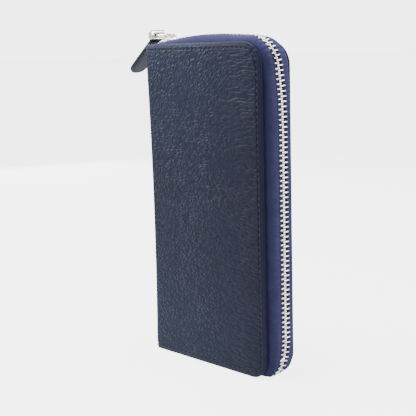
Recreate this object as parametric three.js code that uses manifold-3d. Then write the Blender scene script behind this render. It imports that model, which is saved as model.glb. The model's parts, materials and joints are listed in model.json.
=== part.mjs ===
// Zip around wallet, standing closed on one short end.
// Millimetres, +Z up. The origin is at the foot of the spine, midway through the wallet's
// thickness. The spine is on the left (X = 0), the zip runs over the top, down the right
// side and back along the foot. The front cover faces -Y.

import * as THREE from 'three';
import { mergeVertices } from 'three/addons/utils/BufferGeometryUtils.js';
import Module from 'manifold-3d';

const wasm = await Module();
wasm.setup();

// ---- Driving dimensions -------------------------------------------------------------

const coverHeight = 195;      // long side of each cover
const coverWidth = 95;        // from the outside of the spine to the zip side
const halfThickness = 13;     // closed wallet, from the middle to the outside of a cover
const cornerRadius = 14.5;    // the two corners on the zip side
const spineCornerRadius = 1.2;   // the covers' small corners beside the spine
const leather = 1.4;          // outer leather
const gap = 0.3;              // clearance between pieces that touch

const board = 0.8;            // cardboard stiffener
const boardLeft = 2.6;
const liningThickness = 0.5;
const liningInset = 2;
const liningLeft = 3;
const cardPanel = 0.5;        // one layer of card pockets
const cardPanelsPerCover = 3;
const cardStep = 14;          // each card pocket is this much shorter than the one behind it
const cardLeft = 4;
const firstCardRight = 84;
const cardInset = 11;         // from the covers' top and foot to the card pockets

const spineBoard = { thickness: 0.6, halfWidth: 9.4, inset: 4 };
const spineLining = { thickness: 0.4, halfWidth: 9.2, inset: 6 };

const gussetDepth = 8;
const gussetThickness = 0.4;
const gussetLeft = 8;
const gussetRight = 76;
const gussetInset = 9;        // from the covers' top and foot to the gussets' mouths

const tapeThickness = 0.6;    // zip tape
const tapeTuck = 5;           // how far the tape reaches in behind the cover's edge
const sideBulge = 5;          // how far the zip stands out past the covers at the side
const topBulgeAtSpine = 1.2;  // the same over the top, at its two ends
const topBulgeAtCorner = 4.6;
const floorGap = 0.3;         // the zip along the foot stays this far off the ground

const toothPitch = 2.85;
const toothDepth = 1.9;       // across the tape
const chainHalfWidth = 3.4;

const pocketHalf = 2.9;       // coin pocket, from its middle to its outside
const pocketWall = 0.7;
const pocketLeft = 5;
const pocketRight = 78;
const pocketFoot = 10;
const pocketTop = 185;

const coinPitch = 2.4;
const coinTapeThickness = 0.4;

const pullerWidth = 12.4;     // leather pull tab
const pullerThickness = 2.4;

// ---- Derived places -----------------------------------------------------------------

const spineOutside = -leather / 2;
const coverLeft = leather / 2 + gap;
const coverRight = spineOutside + coverWidth;
const cornerX = coverRight - cornerRadius;
const topCornerZ = coverHeight - cornerRadius;
const boardOuter = halfThickness - leather - gap;
const liningOuter = boardOuter - board - gap;
const cardOuter = liningOuter - liningThickness - gap;
const cardLayer = cardPanel + gap;
const cardInner = cardOuter - cardPanelsPerCover * cardLayer + gap;
const zipStart = 3.3;         // first teeth, beside the spine

// ---- Materials ----------------------------------------------------------------------

function material(name, color, roughness, metalness) {
  return new THREE.MeshStandardMaterial({ name, color, roughness, metalness });
}

const navyLeather = () => material('leather', 0x3d4556, 0.5, 0);
const innerLeather = () => material('inner_leather', 0x353c4d, 0.55, 0);
const zipTape = () => material('zip_tape', 0x353a63, 0.8, 0);
const liningCloth = () => material('lining', 0x2c3352, 0.85, 0);
const cardboard = () => material('board', 0xa89a80, 0.9, 0);
const brightMetal = () => material('bright_metal', 0xcfd0d2, 0.2, 1);

// ---- Geometry helpers ---------------------------------------------------------------

const wallet = new THREE.Group();

function addTo(parent, name, geometry, surface) {
  const mesh = new THREE.Mesh(geometry, surface);
  mesh.name = name;
  parent.add(mesh);
  return mesh;
}

function toSolid(geometry) {
  const bare = geometry.clone();
  bare.deleteAttribute('normal');
  bare.deleteAttribute('uv');
  const merged = mergeVertices(bare, 1e-5);
  const vertProperties = new Float32Array(merged.attributes.position.array);
  const triVerts = new Uint32Array(merged.index.array);
  return new wasm.Manifold(new wasm.Mesh({ numProp: 3, vertProperties, triVerts }));
}

function toGeometry(solid) {
  const mesh = solid.getMesh();
  const geometry = new THREE.BufferGeometry();
  geometry.setAttribute('position', new THREE.BufferAttribute(mesh.vertProperties, 3));
  geometry.setIndex(new THREE.BufferAttribute(mesh.triVerts, 1));
  geometry.computeVertexNormals();
  return geometry;
}

function union(...geometries) {
  return toGeometry(geometries.map(toSolid).reduce((whole, piece) => whole.add(piece)));
}

function box(low, high) {
  const size = high.map((value, axis) => value - low[axis]);
  const middle = high.map((value, axis) => (value + low[axis]) / 2);
  return new THREE.BoxGeometry(...size).translate(...middle);
}

// A rectangle in X and Z with its own corner radius at the left and at the right.
function roundedShape(x0, x1, z0, z1, leftRadius, rightRadius) {
  const shape = new THREE.Shape();
  shape.moveTo(x0 + leftRadius, z0);
  shape.lineTo(x1 - rightRadius, z0);
  shape.absarc(x1 - rightRadius, z0 + rightRadius, rightRadius, -Math.PI / 2, 0);
  shape.lineTo(x1, z1 - rightRadius);
  shape.absarc(x1 - rightRadius, z1 - rightRadius, rightRadius, 0, Math.PI / 2);
  shape.lineTo(x0 + leftRadius, z1);
  shape.absarc(x0 + leftRadius, z1 - leftRadius, leftRadius, Math.PI / 2, Math.PI);
  shape.lineTo(x0, z0 + leftRadius);
  shape.absarc(x0 + leftRadius, z0 + leftRadius, leftRadius, Math.PI, Math.PI * 1.5);
  return shape;
}

// A flat plate parallel to the covers, from y0 to y1.
function plate(shape, y0, y1) {
  const options = { depth: y1 - y0, bevelEnabled: false, curveSegments: 6 };
  return new THREE.ExtrudeGeometry(shape, options).rotateX(Math.PI / 2).translate(0, y1, 0);
}

// The same plate on either cover: side -1 is the front, +1 the back.
function coverPlate(shape, side, inner, outer) {
  return side < 0 ? plate(shape, -outer, -inner) : plate(shape, inner, outer);
}

function signedVolume(positions, indices) {
  const corner = [new THREE.Vector3(), new THREE.Vector3(), new THREE.Vector3()];
  let volume = 0;
  for (let i = 0; i < indices.length; i += 3) {
    corner.forEach((point, k) => point.fromArray(positions, indices[i + k] * 3));
    volume += corner[0].dot(corner[1].cross(corner[2])) / 6;
  }
  return volume;
}

// A closed solid through a row of rings that all have the same number of points.
function loft(rings, section) {
  const count = section.length;
  const positions = rings.flat().flatMap((point) => [point.x, point.y, point.z]);
  const indices = [];
  for (let ring = 0; ring < rings.length - 1; ring++) {
    for (let i = 0; i < count; i++) {
      const a = ring * count + i;
      const b = ring * count + (i + 1) % count;
      indices.push(a, b, b + count, a, b + count, a + count);
    }
  }
  const flat = section.map(([u, v]) => new THREE.Vector2(u, v));
  const last = (rings.length - 1) * count;
  for (const face of THREE.ShapeUtils.triangulateShape(flat, [])) {
    const [a, b, c] = face.sort((p, q) => p - q);   // in the ring's own order
    indices.push(c, b, a, last + a, last + b, last + c);
  }
  if (signedVolume(positions, indices) < 0) {
    indices.reverse();
  }
  const geometry = new THREE.BufferGeometry();
  geometry.setAttribute('position', new THREE.Float32BufferAttribute(positions, 3));
  geometry.setIndex(indices);
  geometry.computeVertexNormals();
  return geometry;
}

// ---- The zip's path round three sides -----------------------------------------------

const topRun = cornerX - zipStart;
const cornerRun = cornerRadius * Math.PI / 2;
const sideRun = topCornerZ - cornerRadius;
const sideBegins = topRun + cornerRun;
const sideEnds = sideBegins + sideRun;
const footBegins = sideEnds + cornerRun;
const pathLength = footBegins + topRun;

// A place on the covers' edge: its point, the outward angle and the zip's bulge there.
function stationAt(distance) {
  if (distance <= topRun) {
    const bulge = THREE.MathUtils.lerp(topBulgeAtSpine, topBulgeAtCorner, distance / topRun);
    return { x: zipStart + distance, z: coverHeight, angle: Math.PI / 2, bulge };
  }
  if (distance <= sideBegins) {
    const turn = (distance - topRun) / cornerRun;
    const bulge = THREE.MathUtils.lerp(topBulgeAtCorner, sideBulge, turn);
    return cornerStation((1 - turn) * Math.PI / 2, topCornerZ, bulge);
  }
  if (distance <= sideEnds) {
    const z = topCornerZ - (distance - sideBegins);
    return { x: coverRight, z, angle: 0, bulge: sideBulge };
  }
  if (distance <= footBegins) {
    const angle = -(distance - sideEnds) / cornerRadius;
    const reach = (cornerRadius - floorGap) / Math.max(Math.sin(-angle), 1e-3);
    return cornerStation(angle, cornerRadius, Math.min(sideBulge, reach - cornerRadius));
  }
  return { x: cornerX - (distance - footBegins), z: 0, angle: -Math.PI / 2, bulge: -floorGap };
}

function cornerStation(angle, centreZ, bulge) {
  const x = cornerX + cornerRadius * Math.cos(angle);
  return { x, z: centreZ + cornerRadius * Math.sin(angle), angle, bulge };
}

// The point that lies `out` beyond the covers' edge at a station, at depth y.
function outFrom(station, out, y) {
  const x = station.x + Math.cos(station.angle) * out;
  return new THREE.Vector3(x, y, station.z + Math.sin(station.angle) * out);
}

function pathDistances(stepsPerCorner) {
  const distances = [0, topRun / 2];
  for (let i = 0; i <= stepsPerCorner; i++) {
    distances.push(topRun + cornerRun * i / stepsPerCorner);
  }
  for (let i = 0; i <= stepsPerCorner; i++) {
    distances.push(sideEnds + cornerRun * i / stepsPerCorner);
  }
  distances.push(pathLength);
  return distances;
}

// ---- Zip tape: tucked behind the cover, then arching over to the teeth ---------------

const tapeLayer = boardOuter - tapeThickness / 2;
const tapeFlatAt = 5.6;       // from here to the teeth the tape lies flat
const tapeEnd = chainHalfWidth + gap;

function tapeSection(bulge, side) {
  const root = -0.5;          // the arch starts this far in behind the cover's edge
  const crest = bulge - toothDepth / 2;
  const middle = [[-tapeTuck, tapeLayer]];
  const archSteps = 4;
  for (let i = 0; i <= archSteps; i++) {
    const turn = i / archSteps * Math.PI / 2;
    const out = root + (crest - root) * Math.sin(turn);
    middle.push([out, tapeFlatAt + (tapeLayer - tapeFlatAt) * Math.cos(turn)]);
  }
  middle.push([crest, tapeEnd]);
  const half = tapeThickness / 2;
  const loop = beside(middle, half).concat(beside(middle, -half).reverse());
  return loop.map(([out, y]) => [out, y * side]);
}

// The line beside a polyline, at a distance square to it.
function beside(points, distance) {
  return points.map(([x, y], i) => {
    const before = points[Math.max(i - 1, 0)];
    const after = points[Math.min(i + 1, points.length - 1)];
    const along = new THREE.Vector2(after[0] - before[0], after[1] - before[1]).normalize();
    return [x - along.y * distance, y + along.x * distance];
  });
}

function zipTapeGeometry(side) {
  const stations = pathDistances(7).map(stationAt);
  const rings = stations.map((station) => tapeSection(station.bulge, side)
    .map(([out, y]) => outFrom(station, out, y)));
  return loft(rings, tapeSection(sideBulge, side));
}

// ---- Zip teeth: a comb along each tape ----------------------------------------------

const toothRoot = 1.55;       // where the comb's gaps end, from the middle
const partedTip = 0.7;        // the rows stand apart along the top, for the slider's post,
const meshedTip = -0.95;      // and reach past the middle round the side

function combStations() {
  const stations = [];
  let distance = 0;
  while (distance < pathLength) {
    const station = stationAt(distance);
    const meshed = distance > topRun && distance < footBegins;
    stations.push({ ...station, tip: meshed ? meshedTip : partedTip });
    const turning = Math.abs(Math.sin(2 * station.angle)) > 1e-6;
    const stretch = turning ? (cornerRadius + station.bulge) / cornerRadius : 1;
    distance += toothPitch / 2 / stretch;
  }
  return stations;
}

function toothSection(station, isTip, side) {
  const inner = isTip ? station.tip : toothRoot;
  const low = station.bulge - toothDepth;
  const outline = [[low, chainHalfWidth], [station.bulge, chainHalfWidth],
    [station.bulge, inner], [low, inner]];
  return outline.map(([out, y]) => [out, y * side]);
}

function zipTeethGeometry(side) {
  const rings = combStations().map((station, i) => {
    const isTip = (i % 2 === 0) === (side < 0);
    return toothSection(station, isTip, side).map(([out, y]) => outFrom(station, out, y));
  });
  return loft(rings, toothSection(stationAt(0), true, side));
}

// ---- Spine --------------------------------------------------------------------------

const spine = new THREE.Group();
wallet.add(spine);

// Seen from above, with the two outer edges bevelled.
function spineOutline(x0, x1, halfWidth) {
  const bevel = 0.6;
  const shape = new THREE.Shape();
  shape.moveTo(x0 + bevel, -halfWidth);
  shape.lineTo(x1, -halfWidth);
  shape.lineTo(x1, halfWidth);
  shape.lineTo(x0 + bevel, halfWidth);
  shape.lineTo(x0, halfWidth - bevel);
  shape.lineTo(x0, -halfWidth + bevel);
  return shape;
}

const spineShape = spineOutline(spineOutside, -spineOutside, halfThickness);
const upright = { depth: coverHeight, bevelEnabled: false };
addTo(spine, 'spine_leather', new THREE.ExtrudeGeometry(spineShape, upright), navyLeather());

// A flat strip behind the spine's leather, from x inwards.
function spineStrip(x, { thickness, halfWidth, inset }) {
  return box([x, -halfWidth, inset], [x + thickness, halfWidth, coverHeight - inset]);
}

const spineBoardX = -spineOutside + gap;
addTo(spine, 'spine_board', spineStrip(spineBoardX, spineBoard), cardboard());

const spineLiningX = spineBoardX + spineBoard.thickness + gap;
addTo(spine, 'spine_lining', spineStrip(spineLiningX, spineLining), liningCloth());

// ---- Covers: leather, board, zip tape and teeth, lining, card pockets -----------------

function buildCover(name, side) {
  const cover = new THREE.Group();
  wallet.add(cover);

  const outline = roundedShape(coverLeft, coverRight, 0, coverHeight,
    spineCornerRadius, cornerRadius);
  const skin = coverPlate(outline, side, halfThickness - leather, halfThickness);
  addTo(cover, `${name}_leather`, skin, navyLeather());

  const boardInset = tapeTuck + 1;
  const boardShape = roundedShape(boardLeft, coverRight - boardInset, boardInset,
    coverHeight - boardInset, 1, cornerRadius - boardInset);
  const stiffener = coverPlate(boardShape, side, boardOuter - board, boardOuter);
  addTo(cover, `${name}_board`, stiffener, cardboard());

  addTo(cover, `${name}_zip_tape`, zipTapeGeometry(side), zipTape());
  addTo(cover, `${name}_zip_teeth`, zipTeethGeometry(side), brightMetal());

  const liningShape = roundedShape(liningLeft, coverRight - liningInset, liningInset,
    coverHeight - liningInset, 1, cornerRadius - liningInset);
  const cloth = coverPlate(liningShape, side, liningOuter - liningThickness, liningOuter);
  addTo(cover, `${name}_lining`, cloth, liningCloth());

  for (let i = 0; i < cardPanelsPerCover; i++) {
    const right = firstCardRight - i * cardStep;
    const outer = cardOuter - i * cardLayer;
    const shape = roundedShape(cardLeft, right, cardInset, coverHeight - cardInset, 1, 1.5);
    const panel = coverPlate(shape, side, outer - cardPanel, outer);
    addTo(cover, `${name}_card_pocket_${i + 1}`, panel, innerLeather());
  }
}

buildCover('front', -1);
buildCover('back', 1);

// ---- Gussets: a folded wall at each end of the two note compartments ------------------

function gussetGeometry(side, isTop) {
  const outerY = cardInner - gap;
  const innerY = pocketHalf + gap;
  const middleY = (outerY + innerY) / 2;
  const half = gussetThickness / 2;
  const foldDepth = gussetDepth - 1.6;   // the inside of the fold
  const section = [[outerY, 0], [middleY + half, gussetDepth], [middleY - half, gussetDepth],
    [innerY, 0], [innerY + gussetThickness, 0], [middleY, foldDepth],
    [outerY - gussetThickness, 0]];
  const mouth = isTop ? coverHeight - gussetInset : gussetInset;
  const inward = isTop ? -1 : 1;
  const rings = [gussetLeft, gussetRight].map((x) => section
    .map(([y, depth]) => new THREE.Vector3(x, y * side, mouth + depth * inward)));
  return loft(rings, section);
}

for (const [name, side] of [['front', -1], ['back', 1]]) {
  addTo(wallet, `${name}_gusset_top`, gussetGeometry(side, true), liningCloth());
  addTo(wallet, `${name}_gusset_foot`, gussetGeometry(side, false), liningCloth());
}

// ---- Coin pocket: two walls, an edge strip round three sides and a zip on the fourth --

const coinPocket = new THREE.Group();
wallet.add(coinPocket);

const wallShape = roundedShape(pocketLeft, pocketRight, pocketFoot, pocketTop, 1, 2);
const wallInner = pocketHalf - pocketWall;
const frontWall = coverPlate(wallShape, -1, wallInner, pocketHalf);
addTo(coinPocket, 'coin_pocket_front', frontWall, innerLeather());
const backWall = coverPlate(wallShape, 1, wallInner, pocketHalf);
addTo(coinPocket, 'coin_pocket_back', backWall, innerLeather());

const edgeHalf = wallInner - gap;
const edgeWidth = 0.7;
const coinTapeLeft = pocketRight - 4;
const edgeShape = new THREE.Shape();
edgeShape.moveTo(coinTapeLeft - gap, pocketFoot);
edgeShape.lineTo(pocketLeft, pocketFoot);
edgeShape.lineTo(pocketLeft, pocketTop);
edgeShape.lineTo(coinTapeLeft - gap, pocketTop);
edgeShape.lineTo(coinTapeLeft - gap, pocketTop - edgeWidth);
edgeShape.lineTo(pocketLeft + edgeWidth, pocketTop - edgeWidth);
edgeShape.lineTo(pocketLeft + edgeWidth, pocketFoot + edgeWidth);
edgeShape.lineTo(coinTapeLeft - gap, pocketFoot + edgeWidth);
addTo(coinPocket, 'coin_pocket_edge', plate(edgeShape, -edgeHalf, edgeHalf), innerLeather());

const coinZipFoot = pocketFoot + 3;
const coinZipTop = pocketTop - 3;
const coinTapeFace = pocketRight + 1;   // where the folded tape turns across the mouth
const coinToothLow = coinTapeFace + gap;
const coinToothDepth = 1.4;
const coinToothHigh = coinToothLow + coinToothDepth;

// Each tape is folded: one leg inside the wall, one across the mouth under the teeth.
function coinTapeGeometry(side) {
  const outerY = edgeHalf;
  const innerY = outerY - coinTapeThickness;
  const lip = 0.6;
  const shape = new THREE.Shape();
  shape.moveTo(coinTapeLeft, outerY * side);
  shape.lineTo(coinTapeFace, outerY * side);
  shape.lineTo(coinTapeFace, lip * side);
  shape.lineTo(coinTapeFace - coinTapeThickness, lip * side);
  shape.lineTo(coinTapeFace - coinTapeThickness, innerY * side);
  shape.lineTo(coinTapeLeft, innerY * side);
  const length = coinZipTop - coinZipFoot;
  const options = { depth: length, bevelEnabled: false };
  return new THREE.ExtrudeGeometry(shape, options).translate(0, 0, coinZipFoot);
}

function coinTeethGeometry(side) {
  const tip = 0.55;           // both from the middle of the chain
  const root = 1.1;
  const steps = Math.floor((coinZipTop - coinZipFoot) / (coinPitch / 2));
  const rings = [];
  for (let i = 0; i <= steps; i++) {
    const inner = (i % 2 === 0) === (side < 0) ? tip : root;
    const z = coinZipFoot + i * coinPitch / 2;
    rings.push([[coinToothLow, edgeHalf], [coinToothHigh, edgeHalf],
      [coinToothHigh, inner], [coinToothLow, inner]]
      .map(([x, y]) => new THREE.Vector3(x, y * side, z)));
  }
  return loft(rings, rings[0].map((point) => [point.x, point.y]));
}

for (const [name, side] of [['front', -1], ['back', 1]]) {
  addTo(coinPocket, `coin_tape_${name}`, coinTapeGeometry(side), zipTape());
  addTo(coinPocket, `coin_teeth_${name}`, coinTeethGeometry(side), brightMetal());
}

// ---- Sliders ------------------------------------------------------------------------

// An arch that stands on a slider's upper wing, in its own X and Z, for the pull to hook in.
function archGeometry(halfLength, height, wall, halfWidth) {
  const sunk = 0.2;           // its feet run into the wing
  const lean = 0.3;
  const shoulder = 1.4;
  const shape = new THREE.Shape();
  shape.moveTo(-halfLength, -sunk);
  shape.lineTo(-halfLength + lean, height - 1);
  shape.lineTo(-halfLength + shoulder, height);
  shape.lineTo(halfLength - shoulder, height);
  shape.lineTo(halfLength - lean, height - 1);
  shape.lineTo(halfLength, -sunk);
  shape.lineTo(halfLength - wall, -sunk);
  shape.lineTo(halfLength - wall, height - wall);
  shape.lineTo(-halfLength + wall, height - wall);
  shape.lineTo(-halfLength + wall, -sunk);
  return plate(shape, -halfWidth, halfWidth);
}

// Main slider, in a frame whose X runs along the chain and whose Z = 0 is the teeth's top.
const sliderHalf = 5.5;
const sliderHalfWidth = 4.9;
const wing = 0.9;
const wingGap = 0.5;
const wingTop = wingGap + wing;
const lowWingTop = -toothDepth - wingGap;

function wingShape(halfLength, halfWidth) {
  const shape = new THREE.Shape();
  const nose = halfLength * 0.45;
  shape.moveTo(-halfLength, -halfWidth);
  shape.lineTo(halfLength - nose, -halfWidth);
  shape.lineTo(halfLength, -halfWidth + nose * 0.6);
  shape.lineTo(halfLength, halfWidth - nose * 0.6);
  shape.lineTo(halfLength - nose, halfWidth);
  shape.lineTo(-halfLength, halfWidth);
  return shape;
}

function wingPlate(shape, z0, z1) {
  return new THREE.ExtrudeGeometry(shape, { depth: z1 - z0, bevelEnabled: false })
    .translate(0, 0, z0);
}

const mainWing = wingShape(sliderHalf, sliderHalfWidth);
const postHalf = 0.35;
const postEnd = -2.5;         // the post that parts the rows fills only the broad end
const flangeInner = sliderHalfWidth - 0.8;
const flangeEnd = 2;
const overlap = 0.2;          // how far joined blocks run into each other
// Flanges stand on the back side only, so that the front tape passes freely.
const sliderGeometry = union(
  wingPlate(mainWing, wingGap, wingTop),
  wingPlate(mainWing, lowWingTop - wing, lowWingTop),
  box([-sliderHalf, -postHalf, lowWingTop - overlap], [postEnd, postHalf, wingGap + overlap]),
  box([-sliderHalf, flangeInner, -0.2], [flangeEnd, sliderHalfWidth, wingGap + overlap]),
  box([-sliderHalf, flangeInner, lowWingTop - overlap], [flangeEnd, sliderHalfWidth, -1.8]),
  archGeometry(4.5, 3.8, 1.1, 1.5).translate(0, 0, wingTop),
);

const sliderX = 9.3;          // the slider's rest place along the top
const ridgeSlope = Math.atan2(topBulgeAtCorner - topBulgeAtSpine, topRun);
const sliderZ = coverHeight + topBulgeAtSpine + (sliderX - zipStart) * Math.tan(ridgeSlope);
const slider = new THREE.Group();
slider.position.set(sliderX, 0, sliderZ);
slider.rotation.y = -ridgeSlope;
wallet.add(slider);
addTo(slider, 'slider', sliderGeometry, brightMetal());

// ---- Puller: link, clasp and leather tab ---------------------------------------------

const linkBar = 1.2;          // the link is stamped from sheet this thick
const linkHalfWidth = 4.2;
const linkPivot = new THREE.Vector3(7.1, 0, sliderZ + wingTop + 1.45);
const claspPivot = new THREE.Vector3(0.5, 0, coverHeight + 5.8);

function linkGeometry() {
  const reach = linkPivot.distanceTo(claspPivot);
  const half = linkBar / 2;
  const far = reach + half;
  const bevel = 1;
  const shape = new THREE.Shape();
  shape.moveTo(-half, -linkHalfWidth + bevel);
  shape.lineTo(-half + bevel, -linkHalfWidth);
  shape.lineTo(far - bevel, -linkHalfWidth);
  shape.lineTo(far, -linkHalfWidth + bevel);
  shape.lineTo(far, linkHalfWidth - bevel);
  shape.lineTo(far - bevel, linkHalfWidth);
  shape.lineTo(-half + bevel, linkHalfWidth);
  shape.lineTo(-half, linkHalfWidth - bevel);
  const eye = new THREE.Path();
  const eyeHalf = linkHalfWidth - linkBar;
  eye.moveTo(half, -eyeHalf);
  eye.lineTo(half, eyeHalf);
  eye.lineTo(reach - half, eyeHalf);
  eye.lineTo(reach - half, -eyeHalf);
  shape.holes.push(eye);
  return new THREE.ExtrudeGeometry(shape, { depth: linkBar, bevelEnabled: false })
    .translate(0, 0, -half);
}

// The link lies from the slider's arch up to the clasp, so its own X points to the clasp.
const link = new THREE.Group();
link.position.copy(linkPivot);
link.rotation.y = Math.atan2(-(claspPivot.z - linkPivot.z), claspPivot.x - linkPivot.x);
wallet.add(link);
addTo(link, 'pull_link', linkGeometry(), brightMetal());

// The clasp is a folded metal block: an eye for the link, and a slot for the leather below.
const claspLeft = -4.3;
const claspRight = -1.1;
const claspFoot = coverHeight + 3.2;
const claspTop = coverHeight + 8.4;
const claspHalfWidth = pullerWidth / 2 + 0.1;

function claspGeometry() {
  const body = box([claspLeft, -claspHalfWidth, claspFoot],
    [claspRight, claspHalfWidth, claspTop]);
  const eyeRadius = 1.9;
  const boreRadius = 1.1;
  const eyeWidth = 4.4;
  const eyeOuter = new THREE.CylinderGeometry(eyeRadius, eyeRadius, eyeWidth, 20)
    .translate(claspPivot.x, 0, claspPivot.z);
  const eyeHole = new THREE.CylinderGeometry(boreRadius, boreRadius, eyeWidth + 0.6, 20)
    .translate(claspPivot.x, 0, claspPivot.z);
  const neckHalfHeight = 1.2;
  const neck = box([claspRight - 0.5, -eyeWidth / 2, claspPivot.z - neckHalfHeight],
    [claspRight + 0.5, eyeWidth / 2, claspPivot.z + neckHalfHeight]);
  const slotHalf = pullerThickness / 2 - 0.3;
  const slotMiddle = (claspLeft + claspRight) / 2;
  const slot = box([slotMiddle - slotHalf, -claspHalfWidth - 1, claspFoot - 1],
    [slotMiddle + slotHalf, claspHalfWidth + 1, claspTop - 0.9]);
  return toGeometry(toSolid(body).add(toSolid(eyeOuter)).add(toSolid(neck))
    .subtract(toSolid(eyeHole)).subtract(toSolid(slot)));
}

addTo(wallet, 'puller_clasp', claspGeometry(), brightMetal());

// The leather tab is pinched thin inside the clasp, then hangs out past the spine.
function tabGeometry() {
  const claspMiddle = (claspLeft + claspRight) / 2;
  const route = new THREE.CatmullRomCurve3([
    new THREE.Vector3(claspMiddle, 0, claspTop - 1.3),
    new THREE.Vector3(claspMiddle, 0, claspFoot),
    new THREE.Vector3(-4.0, 0, coverHeight + 0.9),
    new THREE.Vector3(-9.6, 0, coverHeight - 5.2),
    new THREE.Vector3(-22.6, 0, coverHeight - 17.0),
  ]);
  const steps = 18;
  const pinchedHalf = pullerThickness / 2 - 0.6;
  const section = [[-1, -1], [1, -1], [1, 1], [-1, 1]];
  const rings = [];
  for (let i = 0; i <= steps; i++) {
    const along = i / steps;
    const point = route.getPointAt(along);
    const tangent = route.getTangentAt(along);
    const across = new THREE.Vector3(-tangent.z, 0, tangent.x);
    const leftToGo = route.getLength() * (1 - along);
    const halfWidth = pullerWidth / 2 * roundEnd(leftToGo);
    const half = point.z > claspFoot - 0.5 ? pinchedHalf : pullerThickness / 2;
    rings.push(section.map(([v, u]) => point.clone().addScaledVector(across, u * half)
      .setY(v * halfWidth)));
  }
  return loft(rings, section);
}

// The tab's end is a half round of this length.
function roundEnd(distanceFromEnd) {
  const endLength = 6;
  const short = 1 - Math.min(distanceFromEnd / endLength, 1);
  return Math.sqrt(1 - short * short * 0.9);
}

addTo(wallet, 'puller_tab', tabGeometry(), navyLeather());

// ---- Zip stops ------------------------------------------------------------------------

const stopLeft = 1.6;
const stopRight = 2.8;
const footStopFoot = 0.5;
const footStopTop = 2.4;
for (const [name, side] of [['front', -1], ['back', 1]]) {
  const ys = [1 * side, chainHalfWidth * side].sort((a, b) => a - b);
  const top = coverHeight + topBulgeAtSpine;
  const stop = box([stopLeft, ys[0], top - toothDepth], [stopRight, ys[1], top]);
  addTo(wallet, `top_stop_${name}`, stop, brightMetal());
}
const footStop = box([stopLeft, -0.4, footStopFoot],
  [stopRight, chainHalfWidth, footStopTop]);
addTo(wallet, 'foot_stop', footStop, brightMetal());

// ---- Coin slider and its pull ----------------------------------------------------------

// The coin slider runs down the pocket's mouth, so its frame is turned: X along -Z.
const coinSlider = new THREE.Group();
const coinSliderZ = coinZipTop - 8;
coinSlider.position.set(coinToothHigh, 0, coinSliderZ);
coinSlider.rotation.y = Math.PI / 2;
wallet.add(coinSlider);

const coinWing = 0.8;         // thickness of its two wings
const coinLowHalf = 3.2;      // half the length of the lower wing, which fits in the mouth
const coinPostHalf = 0.22;
const coinUpperShape = wingShape(4, 2.5);
const coinLowerShape = wingShape(coinLowHalf, 1.1);
const coinPostFoot = coinTapeFace - coinTapeThickness - gap - coinToothHigh;
const coinSliderGeometry = union(
  wingPlate(coinUpperShape, gap, gap + coinWing),
  wingPlate(coinLowerShape, coinPostFoot - coinWing, coinPostFoot),
  box([-coinLowHalf, -coinPostHalf, coinPostFoot - coinWing / 2],
    [-1.2, coinPostHalf, gap + coinWing / 2]),
  archGeometry(3, 2.6, 0.8, 1).translate(0, 0, gap + coinWing),
);
addTo(coinSlider, 'coin_slider', coinSliderGeometry, brightMetal());

// A stamped metal tab that hangs from the coin slider's arch.
const pullBarHalf = 0.5;      // the bar that turns inside the arch
const pullLength = 12.5;      // from the bar's middle to the tip
const pullHalfWidth = 2.4;
const pullThickness = 0.8;
const pullCut = 2;            // the tip's corners are cut back this far

function coinPullGeometry() {
  const tipHalfWidth = pullHalfWidth / 2;
  const shape = new THREE.Shape();
  shape.moveTo(-pullBarHalf, -pullHalfWidth);
  shape.lineTo(pullLength - pullCut, -pullHalfWidth);
  shape.lineTo(pullLength, -tipHalfWidth);
  shape.lineTo(pullLength, tipHalfWidth);
  shape.lineTo(pullLength - pullCut, pullHalfWidth);
  shape.lineTo(-pullBarHalf, pullHalfWidth);
  const eyeHalf = 1.4;
  const eyeEnd = 4.2;
  const eye = new THREE.Path();
  eye.moveTo(pullBarHalf, -eyeHalf);
  eye.lineTo(pullBarHalf, eyeHalf);
  eye.lineTo(eyeEnd, eyeHalf);
  eye.lineTo(eyeEnd, -eyeHalf);
  shape.holes.push(eye);
  return new THREE.ExtrudeGeometry(shape, { depth: pullThickness, bevelEnabled: false })
    .translate(0, 0, -pullThickness / 2);
}

const coinPull = new THREE.Group();
const archEye = 1;            // the bar turns this far above the slider's wing
coinPull.position.set(coinToothHigh + gap + coinWing + archEye, 0, coinSliderZ - 0.9);
coinPull.rotation.y = Math.PI / 2;
wallet.add(coinPull);
addTo(coinPull, 'coin_pull', coinPullGeometry(), brightMetal());

export default wallet;
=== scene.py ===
"""Zip around wallet: the looks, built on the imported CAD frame. Metres, +Z up, -Y out of the front."""
import json
import math

import bmesh
import bpy
from mathutils import Matrix, Vector, noise


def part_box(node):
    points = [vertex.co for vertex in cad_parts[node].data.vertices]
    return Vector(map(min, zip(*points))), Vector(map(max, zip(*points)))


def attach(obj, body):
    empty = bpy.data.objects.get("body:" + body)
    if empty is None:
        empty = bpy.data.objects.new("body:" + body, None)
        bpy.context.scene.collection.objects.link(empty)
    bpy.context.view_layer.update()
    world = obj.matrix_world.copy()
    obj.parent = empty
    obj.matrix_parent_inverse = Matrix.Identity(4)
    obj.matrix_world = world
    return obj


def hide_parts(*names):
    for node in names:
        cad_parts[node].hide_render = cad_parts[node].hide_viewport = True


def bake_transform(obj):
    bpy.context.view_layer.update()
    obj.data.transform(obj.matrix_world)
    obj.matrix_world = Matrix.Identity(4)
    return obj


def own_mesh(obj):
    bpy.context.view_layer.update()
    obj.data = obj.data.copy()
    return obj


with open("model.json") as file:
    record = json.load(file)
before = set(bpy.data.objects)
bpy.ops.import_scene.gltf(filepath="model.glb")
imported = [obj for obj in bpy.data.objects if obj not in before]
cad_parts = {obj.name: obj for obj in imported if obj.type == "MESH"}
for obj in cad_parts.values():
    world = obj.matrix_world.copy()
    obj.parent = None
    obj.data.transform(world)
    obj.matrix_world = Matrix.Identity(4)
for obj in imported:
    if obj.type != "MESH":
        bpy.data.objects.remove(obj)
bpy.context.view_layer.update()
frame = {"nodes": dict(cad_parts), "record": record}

MM = 0.001

# ---- Measures taken from the frame ---------------------------------------------------

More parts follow.
